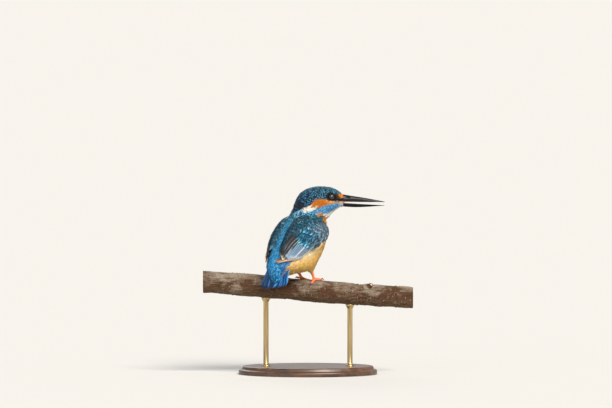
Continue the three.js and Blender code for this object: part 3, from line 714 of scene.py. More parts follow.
root_grey, tip_black, edge_highlight_grey = (0.010, 0.010, 0.013), (0.004, 0.004, 0.006), (0.36, 0.33, 0.30)
gape_red, palate_red = (0.62, 0.13, 0.05), (0.5, 0.16, 0.09)

bill_horn = new_finish("bill_horn", Roughness=0.22, Specular_IOR_Level=0.1)
bill_tone, fibres = tint_of(bill_horn), grain(bill_horn, 420, (0.12, 1.6, 1.6), 4)
streaks = ramp(bill_horn, fibres, (0.35, (0.7, 0.7, 0.72)), (0.65, (1.2, 1.2, 1.2)))
inputs = {"Value": fibres, "To Min": 0.17, "To Max": 0.3}
rough = wire(bill_horn, "ShaderNodeMapRange", inputs).outputs["Result"]
bill_tone, fine = darkened(bill_horn, bill_tone, streaks, 0.7), relief(bill_horn, fibres, 0.0002, 0.35)
connect(bill_horn, Base_Color=bill_tone, Roughness=rough, Normal=fine)

for half_name, sections in bill_sections.items():
    share = np.linspace(0, 1, bill_steps)
    x, ridge_z = smooth_line([(s[0], s[1], 0) for s in sections])(share)[:, :2].T
    edge_z, half = smooth_line([(s[0], s[2], s[3]) for s in sections])(share)[:, 1:].T[..., None]
    rise = ridge_z[:, None] - edge_z
    turn, back = np.linspace(0, math.pi, roof_steps), np.linspace(1, -1, palate_steps + 2)[1:-1]
    hollow = np.minimum(0.3 * np.abs(rise), 0.22 * half) * (1 - back**2)
    y = head_plane + half * np.append(-np.cos(turn), back * 0.94)
    z = edge_z + np.hstack([rise * (1 - np.abs(np.cos(turn)) ** 4), np.sign(rise) * hollow])
    rings = xyz(x[:, None], y, z)
    x, y, z = np.moveaxis(rings, -1, 0)
    slit = ((x - 37.6) / 2.0) ** 2 + ((z - 168.9 + 0.16 * (x - 37.5)) / 0.55) ** 2
    nostril = np.exp(-(slit**1.5)) * (half_name == "upper")
    rings[..., 1] += np.sign(head_plane - y) * 0.65 * nostril
    near_edge = hump(np.abs(z - edge_z), 0.32)
    inside = (np.arange(roof_steps + palate_steps) >= roof_steps) * falling(x, 62, 20)
    tone = paint_over(np.array(root_grey), tip_black, rising(x, 33, 26) ** 0.55)
    tone = paint_over(tone, gape_red, near_edge * falling(x, 38, 6))
    # Painted highlight: a pale grey streak along the cutting edge near the root.
    tone = paint_over(tone, edge_highlight_grey, near_edge * falling(np.abs(x - 40), 8, 8) * 0.4)
    tone = paint_over(paint_over(tone, palate_red, inside), (0, 0, 0), 0.9 * nostril)
    half_node = f"bill_{half_name}"
    piece = make_piece(f"{half_node}_horn", *wrapped(rings), bill_horn, "horn", [half_node])
    tint(piece, np.vstack([tone.reshape(-1, 3), tone[0, :1], tone[-1, :1]]))

# The mouth's soft lining joins the two halves at the corner, and a short tongue lies in it.
lining = new_finish(
    "mouth_lining", Roughness=0.38, Subsurface_Weight=0.2, Coat_Weight=0.2,
    Subsurface_Radius=(0.001, 0.0003, 0.0002),
)
wet = grain(lining, 700, (1, 1, 1), 3)
connect(lining, Base_Color=ramp(lining, wet, (0.3, (0.48, 0.09, 0.035)), (0.7, (0.68, 0.2, 0.09))))
share, straight_up = np.linspace(0, 1, 30), (0, 0, 1.0)
tongue = xyz(27 + 8 * share, head_plane, 163.3 - 0.5 * share)
throat_path, throat_radii = xyz(24 + 8 * share, head_plane, 164.0), 5.2 - 0.7 * share
corner_radii = 0.32 * np.sin(math.pi * (share * 0.74 + 0.08)) ** 0.6 + 0.05
corner_out = 7.7 - 3.7 * share - 1.1 * (1 - share) ** 3
folds = [along_path(tongue, 1.9 * (1 - share) ** 0.6 + 0.12, straight_up, 20, 0.3)]
folds.append(along_path(throat_path, throat_radii, straight_up, 24, 0.1))
for sign in (-1, 1):
    path = xyz(25.6 + 9.4 * share, head_plane + sign * corner_out, 164.15 - 0.1 * share)
    folds.append(along_path(path, corner_radii, straight_up, 16))
make_piece("mouth_lining", *joined([wrapped(fold) for fold in folds]), lining, "coral_skin")

# ---------------------------------------------------------------- eyes
# Glass eyes, nearly black, with a swollen glossy front, each set in a ring of bare dark lid that is
# drawn to a point in front and behind.
eye_centre, eye_radius = (22.2, 10.3, 169.3), 3.3
ball_steps, lid_steps = (60, 64), (72, 10)
pupil_black, iris_brown = np.array([(0.001, 0.001, 0.001), (0.010, 0.005, 0.003)])

eye_glass = new_finish("eye_glass", Roughness=0.05, Specular_IOR_Level=0.85)
eye_tone, flecks = tint_of(eye_glass), grain(eye_glass, 2500, (1, 1, 1), 3)
warmth = ramp(eye_glass, flecks, (0.3, (0.6, 0.6, 0.6)), (0.7, (1.3, 1.25, 1.2)))
connect(eye_glass, Base_Color=darkened(eye_glass, eye_tone, warmth, 0.8))
lid_skin = new_finish("lid_skin", Roughness=0.8, Specular_IOR_Level=0.15)
beads = grain(lid_skin, 2400, kind="Voronoi")
lid_tone = ramp(lid_skin, beads, (0.0, (0.006, 0.005, 0.006)), (0.6, (0.026, 0.022, 0.022)))
connect(lid_skin, Base_Color=lid_tone, Normal=relief(lid_skin, beads, 0.0002, 0.6))


def round_eye(sign, reach, tilt, turn):
    """Places round an eye: reach from its middle, angle off its outward axis, and turn about it."""
    middle = (eye_centre[0], head_plane + sign * eye_centre[1], eye_centre[2])
    out = reach * np.sin(tilt)
    return middle + xyz(out * np.cos(turn), sign * reach * np.cos(tilt), out * np.sin(turn))


def cells_of(grid):
    """Four-cornered faces between the points of a grid."""
    return np.stack([grid[:-1, :-1], grid[1:, :-1], grid[1:, 1:], grid[:-1, 1:]], -1).reshape(-1, 4)


for side_name, sign in (("right", -1), ("left", 1)):
    tilt, turn = np.linspace(0.02, math.pi - 0.02, ball_steps[0])[:, None], full_turn(ball_steps[1])
    swollen = eye_radius * (1 + 0.05 * np.sqrt(np.clip(1 - tilt / math.radians(42), 0, 1)))
    ball = wrapped(round_eye(sign, swollen, tilt, turn))
    piece = make_piece(f"eye_{side_name}_glass", *ball, eye_glass, "eye", [f"eye_{side_name}"])
    iris = soft(np.degrees(tilt) - 27, 3) * soft(48 - np.degrees(tilt), 4)
    eye_colour = paint_over(pupil_black, iris_brown, iris[:, 0])
    tint(piece, np.vstack([np.repeat(eye_colour, ball_steps[1], axis=0), eye_colour[0], eye_colour[-1]]))
    turn, out = full_turn(lid_steps[0])[:, None], full_turn(lid_steps[1])
    opening = np.radians(52 + 8 * np.abs(np.cos(turn)) ** 5 + 4.5 * np.cos(out))
    lid = round_eye(sign, eye_radius + 0.04 + 0.16 * np.sin(out), opening, turn).reshape(-1, 3)
    grid = np.pad(np.arange(len(lid)).reshape(lid_steps), (0, 1), mode="wrap")
    make_piece(f"eyelids_{side_name}", lid, [cells_of(grid.T)], lid_skin, "horn")

# ---------------------------------------------------------------- tail
# Twelve short stiff feathers in a slight fan, each a web of barbs on a dark shaft, the middle pair
# on top. They are rooted in the rump, under the long feathers that cover it.
tail_root, tail_tip = (-35.0, 117.0), (-46.0, 83.4)
tail_half_angle, tail_swing, tail_roll = math.radians(18), math.radians(6), math.radians(5)
tail_feathers, vane_rows, vane_columns = 12, 30, 9
tail_dark, tail_blue, tail_streak = np.array([(0.003, 0.035, 0.13), (0.015, 0.22, 0.62), (0.14, 0.42, 0.78)])


def tail_point(reach, across, rise):
    """A place on the tail: share from root to tip, from the bird's left edge to its right."""
    run, drop = tail_tip[0] - tail_root[0], tail_tip[1] - tail_root[1]
    cos, sin = run / math.hypot(run, drop), drop / math.hypot(run, drop)
    fan = (across * 2 - 1) * tail_half_angle - tail_swing
    out = reach * math.hypot(run, drop)
    right = np.sin(fan) * out + (across * 2 - 1) * 9
    down, arch = np.cos(fan) * out, -0.0045 * right**2 + rise + right * math.tan(tail_roll)
    return bird(tail_root[0] + cos * down + sin * arch, right, tail_root[1] + sin * down - cos * arch)


def barbed(name, fine_step, **sockets):
    """A plumage finish: the feather's own colour, ruled with barbs that slant off the shaft."""

    def reckon(operation, *values):
        return wire(finish, "ShaderNodeMath", dict(enumerate(values)), operation=operation).outputs[0]

    finish = new_finish(name, **sockets)
    ruled = wire(finish, "ShaderNodeUVMap", uv_map="Barbs").outputs["UV"]
    parts = wire(finish, "ShaderNodeSeparateXYZ", {"Vector": ruled}).outputs
    slant = reckon("MULTIPLY_ADD", reckon("ABSOLUTE", parts["X"]), -0.9, parts["Y"])
    bent = reckon("MULTIPLY_ADD", grain(finish, 900, (1, 1, 1), 2), 0.25, slant)
    wave = reckon("SINE", reckon("MULTIPLY", bent, 2 * math.pi / fine_step))
    shade = ramp(finish, wave, (0.0, (0.78, 0.78, 0.78)), (0.7, (1.12, 1.12, 1.12)))
    tone = darkened(finish, tint_of(finish), shade, 0.8)
    connect(finish, Base_Color=tone, Normal=relief(finish, wave, 0.00008, 0.5))
    return finish


def pairs(u, v):
    return np.stack(np.broadcast_arrays(u, v), -1)


def square_to(vectors, normals):
    return unit(vectors - normals * np.sum(vectors * normals, -1, keepdims=True))


def band_of(near, far):
    """Four-cornered faces between two rows of points."""
    return np.stack([near[:-1], far[:-1], far[1:], near[1:]], -1)


def vane(path, upward, outward, inner, outer, thick=0.16, camber=0.16, shaft=0.14, split_rows=()):
    """One long feather with a few splits: points, faces and each point's place along and across it."""
    heading = unit(np.gradient(path, axis=0))
    side = square_to(outward, heading)
    normal = square_to(square_to(upward, heading), side)
    across = np.linspace(-1, 1, vane_columns)
    reach = np.where(across < 0, inner[:, None], outer[:, None]) * across
    for row, edge, depth in zip(*split_rows):
        reach[row, 0 if edge < 0 else -1] *= 1 - depth
    share = np.linspace(0, 1, len(path))[:, None]
    ridge = shaft * (1 - share) ** 0.5 * hump(across, 0.14)
    sweep = 0.35 * np.abs(reach) * np.clip(1 - share * 1.1, -0.4, 1)
    rise = ridge - camber * np.abs(reach) * np.abs(across)
    top = path[:, None] + side[:, None] * reach[..., None] + normal[:, None] * rise[..., None]
    top = top + heading[:, None] * sweep[..., None] * 0.5
    under = top - normal[:, None] * (thick * (1 - 0.7 * np.abs(across)) + ridge * 1.4)[..., None]
    grid = np.arange(top[..., 0].size).reshape(top.shape[:2])
    low = grid + grid.size
    faces = [cells_of(grid), cells_of(low.T)]
    faces += [band_of(grid[:, 0], low[:, 0]), band_of(grid[-1], low[-1])]
    faces += [cells_of(np.stack(rim, 1)) for rim in ((grid[:, -1], low[:, -1]), (grid[0], low[0]))]
    length = np.append(0, np.cumsum(np.linalg.norm(np.diff(path, axis=0), axis=1)))
    points = np.vstack([top.reshape(-1, 3), under.reshape(-1, 3)])
    return points, np.vstack(faces), pairs(reach, length[:, None])


def map_points(piece, name, places):
    """Gives a piece a flat map from a place for each of its points."""
    layer = piece.data.uv_layers.new(name=name)
    corners = read_rows(piece.data.loops, "vertex_index", 1, np.int32)[:, 0]
    layer.data.foreach_set("uv", places[corners].astype(np.float32).ravel())


def make_vanes(name, feathers, slot, replaced):
    """A piece of long feathers, each given as its vane and its colours, mapped as parallel strips."""
    points, faces = joined([(feather[0], [feather[1]]) for feather, _ in feathers])
    piece = make_piece(name, points, faces, stiff_vane, slot, replaced)
    tint(piece, np.vstack([colours.reshape(-1, 3) for _, colours in feathers for _ in range(2)]))
    ruled, strips = [], []
    for number, (feather, _) in enumerate(feathers):
        rows, columns = (np.linspace(0, 1, count) for count in feather[2].shape[:2])
        u, v = (number + 0.1 + 0.8 * columns) / len(feathers), 0.02 + 0.96 * rows[:, None]
        ruled += [feather[2].reshape(-1, 2)] * 2
        strips += [pairs(u, v).reshape(-1, 2)] * 2
    map_points(piece, "Barbs", np.vstack(ruled))
    map_points(piece, "OFBake", np.vstack(strips))


def outline_of(half, point=0.16):
    """The half-width of a long feather along it, with a rounded tip."""
    return half * np.clip(0.35 + share / 0.25, 0, 1) * np.sqrt(np.clip((1.0 - share) / point, 0.012, 1))


def draw_splits(rows, shallow, deep):
    """Three rows of a feather, which edge of each is split, and how deep."""
    return chance.integers(12, rows, 3), chance.choice((-1, 1), 3), chance.uniform(shallow, deep, 3)


stiff_vane = barbed("stiff_vane", 0.34, Roughness=0.5, Specular_IOR_Level=0.35)
share, across = np.linspace(0, 1, vane_rows), np.linspace(-1, 1, vane_columns)
tail_set = []
for number in range(tail_feathers):
    from_middle = abs(number - 5.5) - 0.5
    place = (number + 0.5) / tail_feathers + 0.02 * chance.uniform(-1, 1)
    tip = 1.02 + 0.1 * (0.5 - place) - 0.03 * (2 * place - 1) ** 2 - 0.012 * chance.random()
    reach, rise = 0.22 + (tip - 0.22) * share, 0.55 - 0.19 * from_middle
    path = tail_point(reach, place, rise)
    beside = tail_point(reach, place + 0.03 * (1 if place > 0.5 else -1), rise)
    half = 4.3 + 0.3 * (from_middle < 1)
    splits = draw_splits(29, 0.08, 0.22)
    feather = vane(
        path, tail_point(reach, place, rise + 1) - path, beside - path,
        outline_of(half), outline_of(half * 0.8), thick=0.12, camber=0.07, split_rows=splits,
    )
    edge = rising(across, 0.25, 0.7) + 0 * share[:, None]
    deeper = 1.2 - 0.08 * from_middle
    streak = np.clip(np.sin(share * chance.uniform(4, 9) + chance.uniform(0, 6)), 0, 1)[:, None] * edge
    colours = paint_over(paint_over(tail_dark * deeper, tail_blue * deeper, edge), tail_streak, 0.6 * streak)
    colours = colours * (1 - 0.75 * hump(across, 0.13)[:, None])
    colours = colours * np.where(share[:, None, None] > 0.93, 0.6, 1.0) * chance.uniform(0.85, 1.15)
    tail_set.append((feather, colours))
make_vanes("tail_feathers", tail_set, "plumage_blue", ["tail"])

# ---------------------------------------------------------------- long wing feathers
# On each folded wing the primaries lie lowest and reach furthest, the secondaries lie on them in
# steps, and three dark tertials with pale fringes cover the rest. Webs of barbs on dark shafts.
wing_sides = (("right", 1), ("left", -1))
wing_layout = {  # lift, half-width; then for each feather: root and tip across, start and tip along
    "primary": (
        0.5, 2.6, [(0.08 + 0.045 * i, 0.9 + 0.3 * i, 0.34, 0.98 - 0.014 * abs(i - 3.5)) for i in range(6)]
    ),
    "secondary": (
        1.05, 2.9, [(0.33 + 0.052 * i, 0.33 + 0.055 * i, 0.36, 0.87 - 0.012 * abs(i - 3)) for i in range(8)]
    ),
    "tertial": (
        1.9, 2.7, [(0.50 + 0.09 * i, 0.80 + 0.08 * i, 0.38 + 0.02 * i, 0.90 - 0.04 * i) for i in range(3)]
    ),
}
silver, slate, tan, silver_blue = np.array(
    [(0.46, 0.55, 0.66), (0.045, 0.085, 0.14), (0.52, 0.33, 0.19), (0.10, 0.25, 0.42)]
)
umber, cream, gloss = np.array([(0.007, 0.006, 0.007), (0.74, 0.60, 0.45), (0.004, 0.035, 0.065)])
cover_reach, cover_across = np.linspace(0, 1, 64), np.linspace(-0.12, 1.16, 46)
cover_places = np.meshgrid(cover_reach, cover_across, indexing="ij")
sounding = 9.0  # how far above the trunk the skin is sounded from
# The wing's upper edge, read as the lower one; and how far the lower is raised along the wing.
upper_edge = (80, 112), (88.5, 78), (87, 34), (66, 18), (45, 17), (32, 23), (21.5, 38)
raised_edge = (0, 0.22, 0.385, 0.475, 0.56, 0.66, 0.775, 0.87), (0, 0, 0.08, 0.16, 0.165, 0.17, 0.08, 0)
wing_high = smooth_line(upper_edge)
fused.calc_loop_triangles()
skin_triangles = read_rows(fused.loop_triangles, "vertices", 3, np.int32)
skin_tree = BVHTree.FromPolygons(flesh.tolist(), skin_triangles.tolist())


def trunk_point(along, angle, grown):
    """A place on the trunk: share from tail to neck, angle from the back to the bird's right."""
    top, bottom = (line(along) for line in body_lines)
    spread = top[..., :2] - bottom[..., :2]
    half = np.linalg.norm(spread, axis=-1) / 2
    reach = (half + grown) / (2 * half) * np.cos(angle)
    middle = (top[..., :2] + bottom[..., :2]) / 2 + spread * reach[..., None]
    return bird(middle[..., 0], (top[..., 2] + grown) * np.sin(angle), middle[..., 1])


def wing_point(sign, reach, across, grown):
    """A place on the folded wing: share from wrist to tip, and from the lower edge to the upper."""
    low, high = wing_low(reach), wing_high(reach)
    raised = np.interp(reach, *raised_edge)
    across = raised + across * (1 - raised)
    along = (low[..., 0] + (high[..., 0] - low[..., 0]) * across) / 100
    angle = np.radians(low[..., 1] + (high[..., 1] - low[..., 1]) * across)
    return trunk_point(along, sign * angle, grown)


def height_of_skin(sign, reach, across):
    """How far the skin stands off the trunk at places on the folded wing."""
    outer, inner = wing_point(sign, reach, across, sounding), wing_point(sign, reach, across, 0.0)
    gaps = [
        skin_tree.ray_cast(Vector(start), Vector(way), 12.0)[3]
        for start, way in zip(outer.tolist(), unit(inner - outer).tolist())
    ]
    return np.array([-1.0 if gap is None else sounding - gap for gap in gaps])


def cover_of(sign):
    """Heights of an even surface over the wing's flesh and its long feathers, for small feathers."""

    def neighbours(grid):
        rows, columns = grid.shape
        padded = np.pad(grid, 1, mode="edge")
        return np.stack([padded[i : i + rows, j : j + columns] for i in range(3) for j in range(3)])

    reach, across = cover_places
    height = height_of_skin(sign, reach.ravel(), across.ravel()).reshape(reach.shape)
    on_quills = rising(reach, 0.5, 0.08) * np.clip(8 * (across - 0.02), 0, 1)
    on_quills *= np.clip(8 * (0.98 - across), 0, 1)
    height = np.maximum(height, -1 + 2.9 * on_quills)
    for _ in range(2):
        height = neighbours(height).max(0)
    for _ in range(4):
        height = neighbours(height).mean(0)
    return height


def height_on_cover(sign, reach, across):
    """The cover's height at places between those where it is known."""

    def between(value, known):
        place = np.clip(np.interp(value, known, np.arange(len(known))), 0, len(known) - 1.001)
        return place.astype(int), place - place.astype(int)

    (i, u), (j, v), height = between(reach, cover_reach), between(across, cover_across), covers[sign]
    low = height[i, j] * (1 - v) + height[i, j + 1] * v
    return low * (1 - u) + (height[i + 1, j] * (1 - v) + height[i + 1, j + 1] * v) * u


covers = {sign: cover_of(sign) for _, sign in wing_sides}
for side_name, sign in wing_sides:
    wing_set = []
    for kind, (lift, half, places) in wing_layout.items():
        for number, (root_across, tip_across, start, tip) in enumerate(places):
            reach = start + (tip - start) * share
            place = root_across + (tip_across - root_across) * share ** (10 if kind == "primary" else 0.8)
            rise = lift + 0.1 * number + 0.25 * share * (kind != "primary")
            if kind == "tertial":
                rise = height_on_cover(sign, reach, place) + 0.1 + 0.15 * number
                rise -= 1.1 * falling(share, 0.3, 0.3)
            path = wing_point(sign, reach, place, rise)
            normal = wing_point(sign, reach, place, rise + 1.0) - path
            outward = wing_point(sign, reach, place - 0.04, rise) - path
            feather = vane(
                path, normal, outward, outline_of(half), outline_of(half * 0.62, 0.2),
                camber=0.1, shaft=0.16, split_rows=draw_splits(28, 0.1, 0.35),
            )
            outer_web = rising(across, -0.05, 0.35) + 0 * share[:, None]
            rim, end = rising(across, 0.6, 0.35), rising(share[:, None], 0.88, 0.1) + 0 * across
            if kind == "primary":
                web = paint_over(silver * 0.8, tan, rising(reach[:, None], 0.74, 0.12))
                colours = paint_over(paint_over(umber * 2, web, outer_web), tan * 0.7, end)
            elif kind == "secondary":
                web = paint_over(silver * 0.85, silver_blue, (1 - rim) * 0.55)
                colours = paint_over(paint_over(slate, web, outer_web), silver * 1.25, 0.7 * rim * (1 - end))
            else:
                fringe = np.maximum(rising(across, 0.78, 0.2), end) * 0.95
                colours = paint_over(umber, gloss, outer_web * 0.5)
                colours = paint_over(colours, cream * (1.15 - 0.3 * number), fringe)
            colours = colours * (1 - 0.7 * hump(across, 0.13)[:, None]) * chance.uniform(0.88, 1.12)
            wing_set.append((feather, colours))
    wing_node = f"wing_{side_name}_flight_feathers"
    make_vanes(f"wing_{side_name}_long_feathers", wing_set, "plumage_grey", [wing_node])

# ---------------------------------------------------------------- coverts and scapulars
# Rows of small rounded feathers that overlap like tiles over the front of each wing and over the
# shoulder, rooted in the skin. Blue-green, each with a paler blue drop towards its tip.
head_slices = [  # crown: X and height; throat: X and height; half-width
    (-14, 154, -9, 145, 8), (-13, 163, -2, 143.5, 12), (-10, 170.6, 7, 144.5, 13.8),
    (-5.1, 175.4, 14, 147, 14.6), (1.2, 178.2, 19, 149.5, 14.9), (8.6, 179.7, 22.6, 152.9, 14.6),
    (17.7, 179.5, 26, 155.7, 13.4), (24, 178.3, 28.8, 157.5, 11.4), (28.6, 175.8, 31, 158.8, 8.9),
    (32, 173.2, 33, 159.6, 6.6), (34.3, 171.6, 34.5, 160, 4.9),
]
feather_rows = np.array([0, 0.2, 0.42, 0.62, 0.8, 0.92, 1.0])
feather_widths = np.array([0.35, 0.8, 1.0, 1.0, 0.86, 0.62, 0.34])
frayed = np.array([0, 0, 0, 0.12, 0.4, 0.8, 1.0])
feather_columns = np.linspace(-1, 1, 9)
spot_shapes = {  # how strong a feather's spot is along it, and how wide
    "bar": (np.array([0, 0, 0, 0.05, 0.9, 0.6, 0.05]), 0.85),
    "drop": (np.array([0, 0, 0.1, 0.5, 1.0, 0.9, 0.6]), 0.5),
}
covert_rows = [  # share of the wing's length, number across, from and to across, length, width
    (0.012, 4, 0.0, 1.0, 2.9, 2.2), (0.035, 7, -0.02, 0.66, 2.9, 2.2), (0.058, 9, -0.03, 0.64, 3.0, 2.3),
    (0.082, 10, -0.03, 0.62, 3.1, 2.3), (0.106, 11, -0.03, 0.62, 3.2, 2.4),
    (0.131, 11, -0.03, 0.62, 3.4, 2.5), (0.158, 12, -0.03, 0.62, 3.6, 2.6),
    (0.187, 12, -0.03, 0.62, 3.9, 2.7), (0.218, 12, -0.03, 0.62, 4.3, 2.9),
    (0.25, 12, -0.03, 0.62, 4.8, 3.0), (0.285, 12, -0.03, 0.62, 5.4, 3.2),
    (0.322, 12, -0.02, 0.62, 6.0, 3.5), (0.362, 11, -0.01, 0.62, 7.0, 3.9),
    (0.405, 11, 0.0, 0.61, 8.2, 4.3), (0.452, 10, 0.02, 0.60, 9.4, 4.8), (0.49, 10, 0.05, 0.60, 9.0, 4.8),
]
scapular_rows = [
    (
        0.05 + 0.036 * i, 9 + i // 4, 0.58 + 1.1 * max(0, 0.036 * i - 0.26), 1.07,
        3.4 + 0.32 * i, 2.5 + 0.13 * i,
    )
    for i in range(17)
]
covert_teal, covert_blue = (0.003, 0.140, 0.185), (0.012, 0.24, 0.42)
covert_spot, azure_drop = (0.60, 0.90, 1.0), (0.10, 0.74, 1.0)
bright_azure, covert_silver = np.array([(0.01, 0.40, 0.85), (0.52, 0.72, 0.90)])
scapular_teal, scapular_spot = (0.002, 0.130, 0.250), (0.56, 0.92, 1.0)
head_lines = lines_of(head_slices)
soft_vane = barbed("soft_vane", 0.3, Roughness=0.55, Specular_IOR_Level=0.22)


def nearest_on(tree, points):
    found = [tree.find_nearest(Vector(point))[:2] for point in points.tolist()]
    return (np.array(column) for column in zip(*found))


def unwrapped(points):
    """A place from 0 to 1 on the skin's own flat pattern: the head's half, then the body's."""
    along, angle = slice_of(*in_body(points), body_lines)
    head_along, head_angle = slice_of(points[:, 0], head_plane - points[:, 1], points[:, 2], head_lines)
    on_head = share_of_head(points) > 0.5
    u = np.where(on_head, head_angle, angle) / (2 * math.pi) + 0.5
    v = np.where(on_head, head_along, along)
    return np.stack([0.01 + 0.48 * u + np.where(on_head, 0, 0.5), 0.01 + 0.97 * v], -1)


def lay_feathers(name, tree, roots, headings, length, width, tones, stand, look):
    """A piece of small feathers: each follows the skin from its root and lifts towards its tip."""
    slot, finish, lift, cup, fray, hug, spot, darker_root_and_shade = look
    count, rows, columns = len(roots), len(feather_rows), len(feather_columns)
    place, normal = nearest_on(tree, roots)
    heading = square_to(headings, normal)
    heading = unit(heading + np.cross(normal, heading) * chance.normal(0, 0.1, (count, 1)))
    places, normals, ways = [place], [normal], [heading]
    for row in range(1, rows):
        ahead = place + heading * ((feather_rows[row] - feather_rows[row - 1]) * length[:, None])
        on_skin, new_normal = nearest_on(tree, ahead)
        free = rising(feather_rows[row], hug, 0.3)
        place = on_skin + (ahead - on_skin) * free
        normal = unit(normal + (new_normal - normal) * (1 - free) * 0.8)
        heading = square_to(heading, normal)
        for kept, new in ((places, place), (normals, normal), (ways, heading)):
            kept.append(new)
    places, normals, ways = (np.stack(v, 1)[:, :, None] for v in (places, normals, ways))
    lift = (lift * chance.uniform(0.75, 1.25, count))[:, None]
    sunk = -length[:, None] * chance.uniform(0.015, 0.04, (count, 1))
    rise = stand[:, None] + sunk + lift * length[:, None] * feather_rows**1.1
    half = 0.5 * width[:, None] * feather_widths * (1 + chance.uniform(-0.08, 0.08, (count, rows)))
    out = half[..., None] * feather_columns
    drop = cup * half[..., None] * np.abs(feather_columns) ** 1.7
    zigzag = 0.6 * np.where(np.arange(columns) % 2, -1, 1) + chance.uniform(-0.6, 0.6, (count, 1, columns))
    torn = (fray * length[:, None] * frayed)[..., None]
    back = -0.13 * length[:, None, None] * feather_columns**2 * (feather_rows**2)[:, None] + torn * zigzag
    top = places + np.cross(normals, ways) * out[..., None]
    top = top + normals * (rise[..., None] - drop)[..., None] + ways * back[..., None]
    keel = (places + normals * (rise[..., None, None] - 0.08) - ways * 1.5 * torn[..., None])[:, :, 0]
    points = np.concatenate([top.reshape(count, -1, 3), keel], 1)

    grid = np.arange(rows * columns).reshape(rows, columns)
    spine = rows * columns + np.arange(rows)
    quads = [cells_of(grid), band_of(grid[:, 0], spine), cells_of(np.stack((grid[:, -1], spine), 1))]
    fans = np.vstack([
        np.stack([grid[-1, 1:], grid[-1, :-1], np.full(columns - 1, spine[-1])], -1),
        np.stack([grid[0, :-1], grid[0, 1:], np.full(columns - 1, spine[0])], -1),
    ])
    start = (np.arange(count) * (rows * columns + rows))[:, None, None]
    faces = [(np.vstack(quads) + start).reshape(-1, 4), (fans + start).reshape(-1, 3)]
    piece = make_piece(name, points.reshape(-1, 3), faces, finish, slot)

    plain, spots, spotty = tones
    along_spot, spot_width = spot_shapes[spot]
    mask = along_spot[:, None] * hump(feather_columns, spot_width)
    strength = np.clip(spotty * chance.uniform(0.15, 1.25, count), 0, 1)[:, None, None] * mask
    # Each feather darkens towards its root: partly its own darker base, partly painted shade where it lies
    # under the feathers that overlap it.
    deep = (darker_root_and_shade + (1 - darker_root_and_shade) * feather_rows**1.3)[:, None, None]
    varied = (plain * chance.uniform(0.82, 1.18, (count, 1)))[:, None, None]
    colours = varied * deep + (spots[:, None, None] - varied) * strength[..., None]
    tint(piece, np.clip(with_keel(colours), 0, 1).reshape(-1, 3))
    rule = pairs(out, feather_rows[:, None] * length[:, None, None])
    rule = rule * np.maximum(1, 2.3 / width)[:, None, None, None]
    map_points(piece, "Barbs", with_keel(rule).reshape(-1, 2))
    patch = pairs(0.0015 * feather_columns, 0.003 * feather_rows[:, None])
    map_points(piece, "OFBake", (unwrapped(roots)[:, None] + with_keel(patch[None])).reshape(-1, 2))


def with_keel(values):
    """Values of a feather's top, followed by those of its middle line for the keel beneath."""
    middle = values[:, :, len(feather_columns) // 2]
    return np.concatenate([values.reshape(len(values), -1, values.shape[-1]), middle], 1)


cover_trees = {}
for _, sign in wing_sides:
    cover_points = wing_point(sign, *(grid.ravel() for grid in cover_places), covers[sign].ravel())
    cells = cells_of(np.arange(covers[sign].size).reshape(covers[sign].shape))[:, ::sign]
    cover_trees[sign] = BVHTree.FromPolygons(cover_points.tolist(), cells.tolist())
for side_name, sign in wing_sides:
    for group, wing_rows, stand in (("coverts", covert_rows, 0.15), ("scapulars", scapular_rows, 0.3)):
        sown = []
        for number, (reach, count, low, high, long, wide) in enumerate(wing_rows):
            step = (high - low) / count
            place = low + step * (np.arange(count) + 0.25 + 0.5 * (number % 2))
            place = place + chance.normal(0, step * 0.12, count)
            reach = reach + chance.normal(0, 0.006, count)
            heading = wing_point(sign, reach + 0.02, place, 3.0) - wing_point(sign, reach, place, 3.0)
            length, width = long * chance.uniform(0.88, 1.12, count), wide * chance.uniform(0.9, 1.08, count)
            sown.append((reach, place, heading, length, width))
        reach, place, headings, length, width = (np.concatenate(column) for column in zip(*sown))
        if group == "coverts":
            silvery = 0.75 * rising(reach, 0.1, 0.12) * falling(place, 0.6, 0.3)
            azure = 0.8 * rising(reach, 0.36, 0.06) * rising(place, 0.12, 0.15)
            plain = paint_over(covert_teal, covert_blue, rising(reach, 0.1, 0.2))
            plain = paint_over(paint_over(plain, covert_silver * 0.6, silvery), bright_azure * 0.5, azure)
            spots = paint_over(np.array(covert_spot), covert_silver * 1.35, silvery)
            spots = paint_over(spots, azure_drop, azure)
            spotty = np.clip(0.35 + reach * 4.5, 0, 1.5)
        else:
            plain, spots = (np.tile(colour, (len(reach), 1)) for colour in (scapular_teal, scapular_spot))
            spotty = 0.75 + 1.1 * hump(place - 0.84, 0.2) * falling(reach, 0.7, 0.1)
            spotty *= np.clip(0.7 + reach * 2.5, 0, 1)
        roots = wing_point(sign, reach, place, height_on_cover(sign, reach, place))
        look = ("plumage_dark", soft_vane, 0.065, 0.22, 0.05, 1.0, "drop", 0.25)
        lay_feathers(
            f"wing_{side_name}_{group}_feathers", cover_trees[sign], roots, headings, length, width,
            (plain, spots, spotty), np.full(len(roots), stand), look,
        )

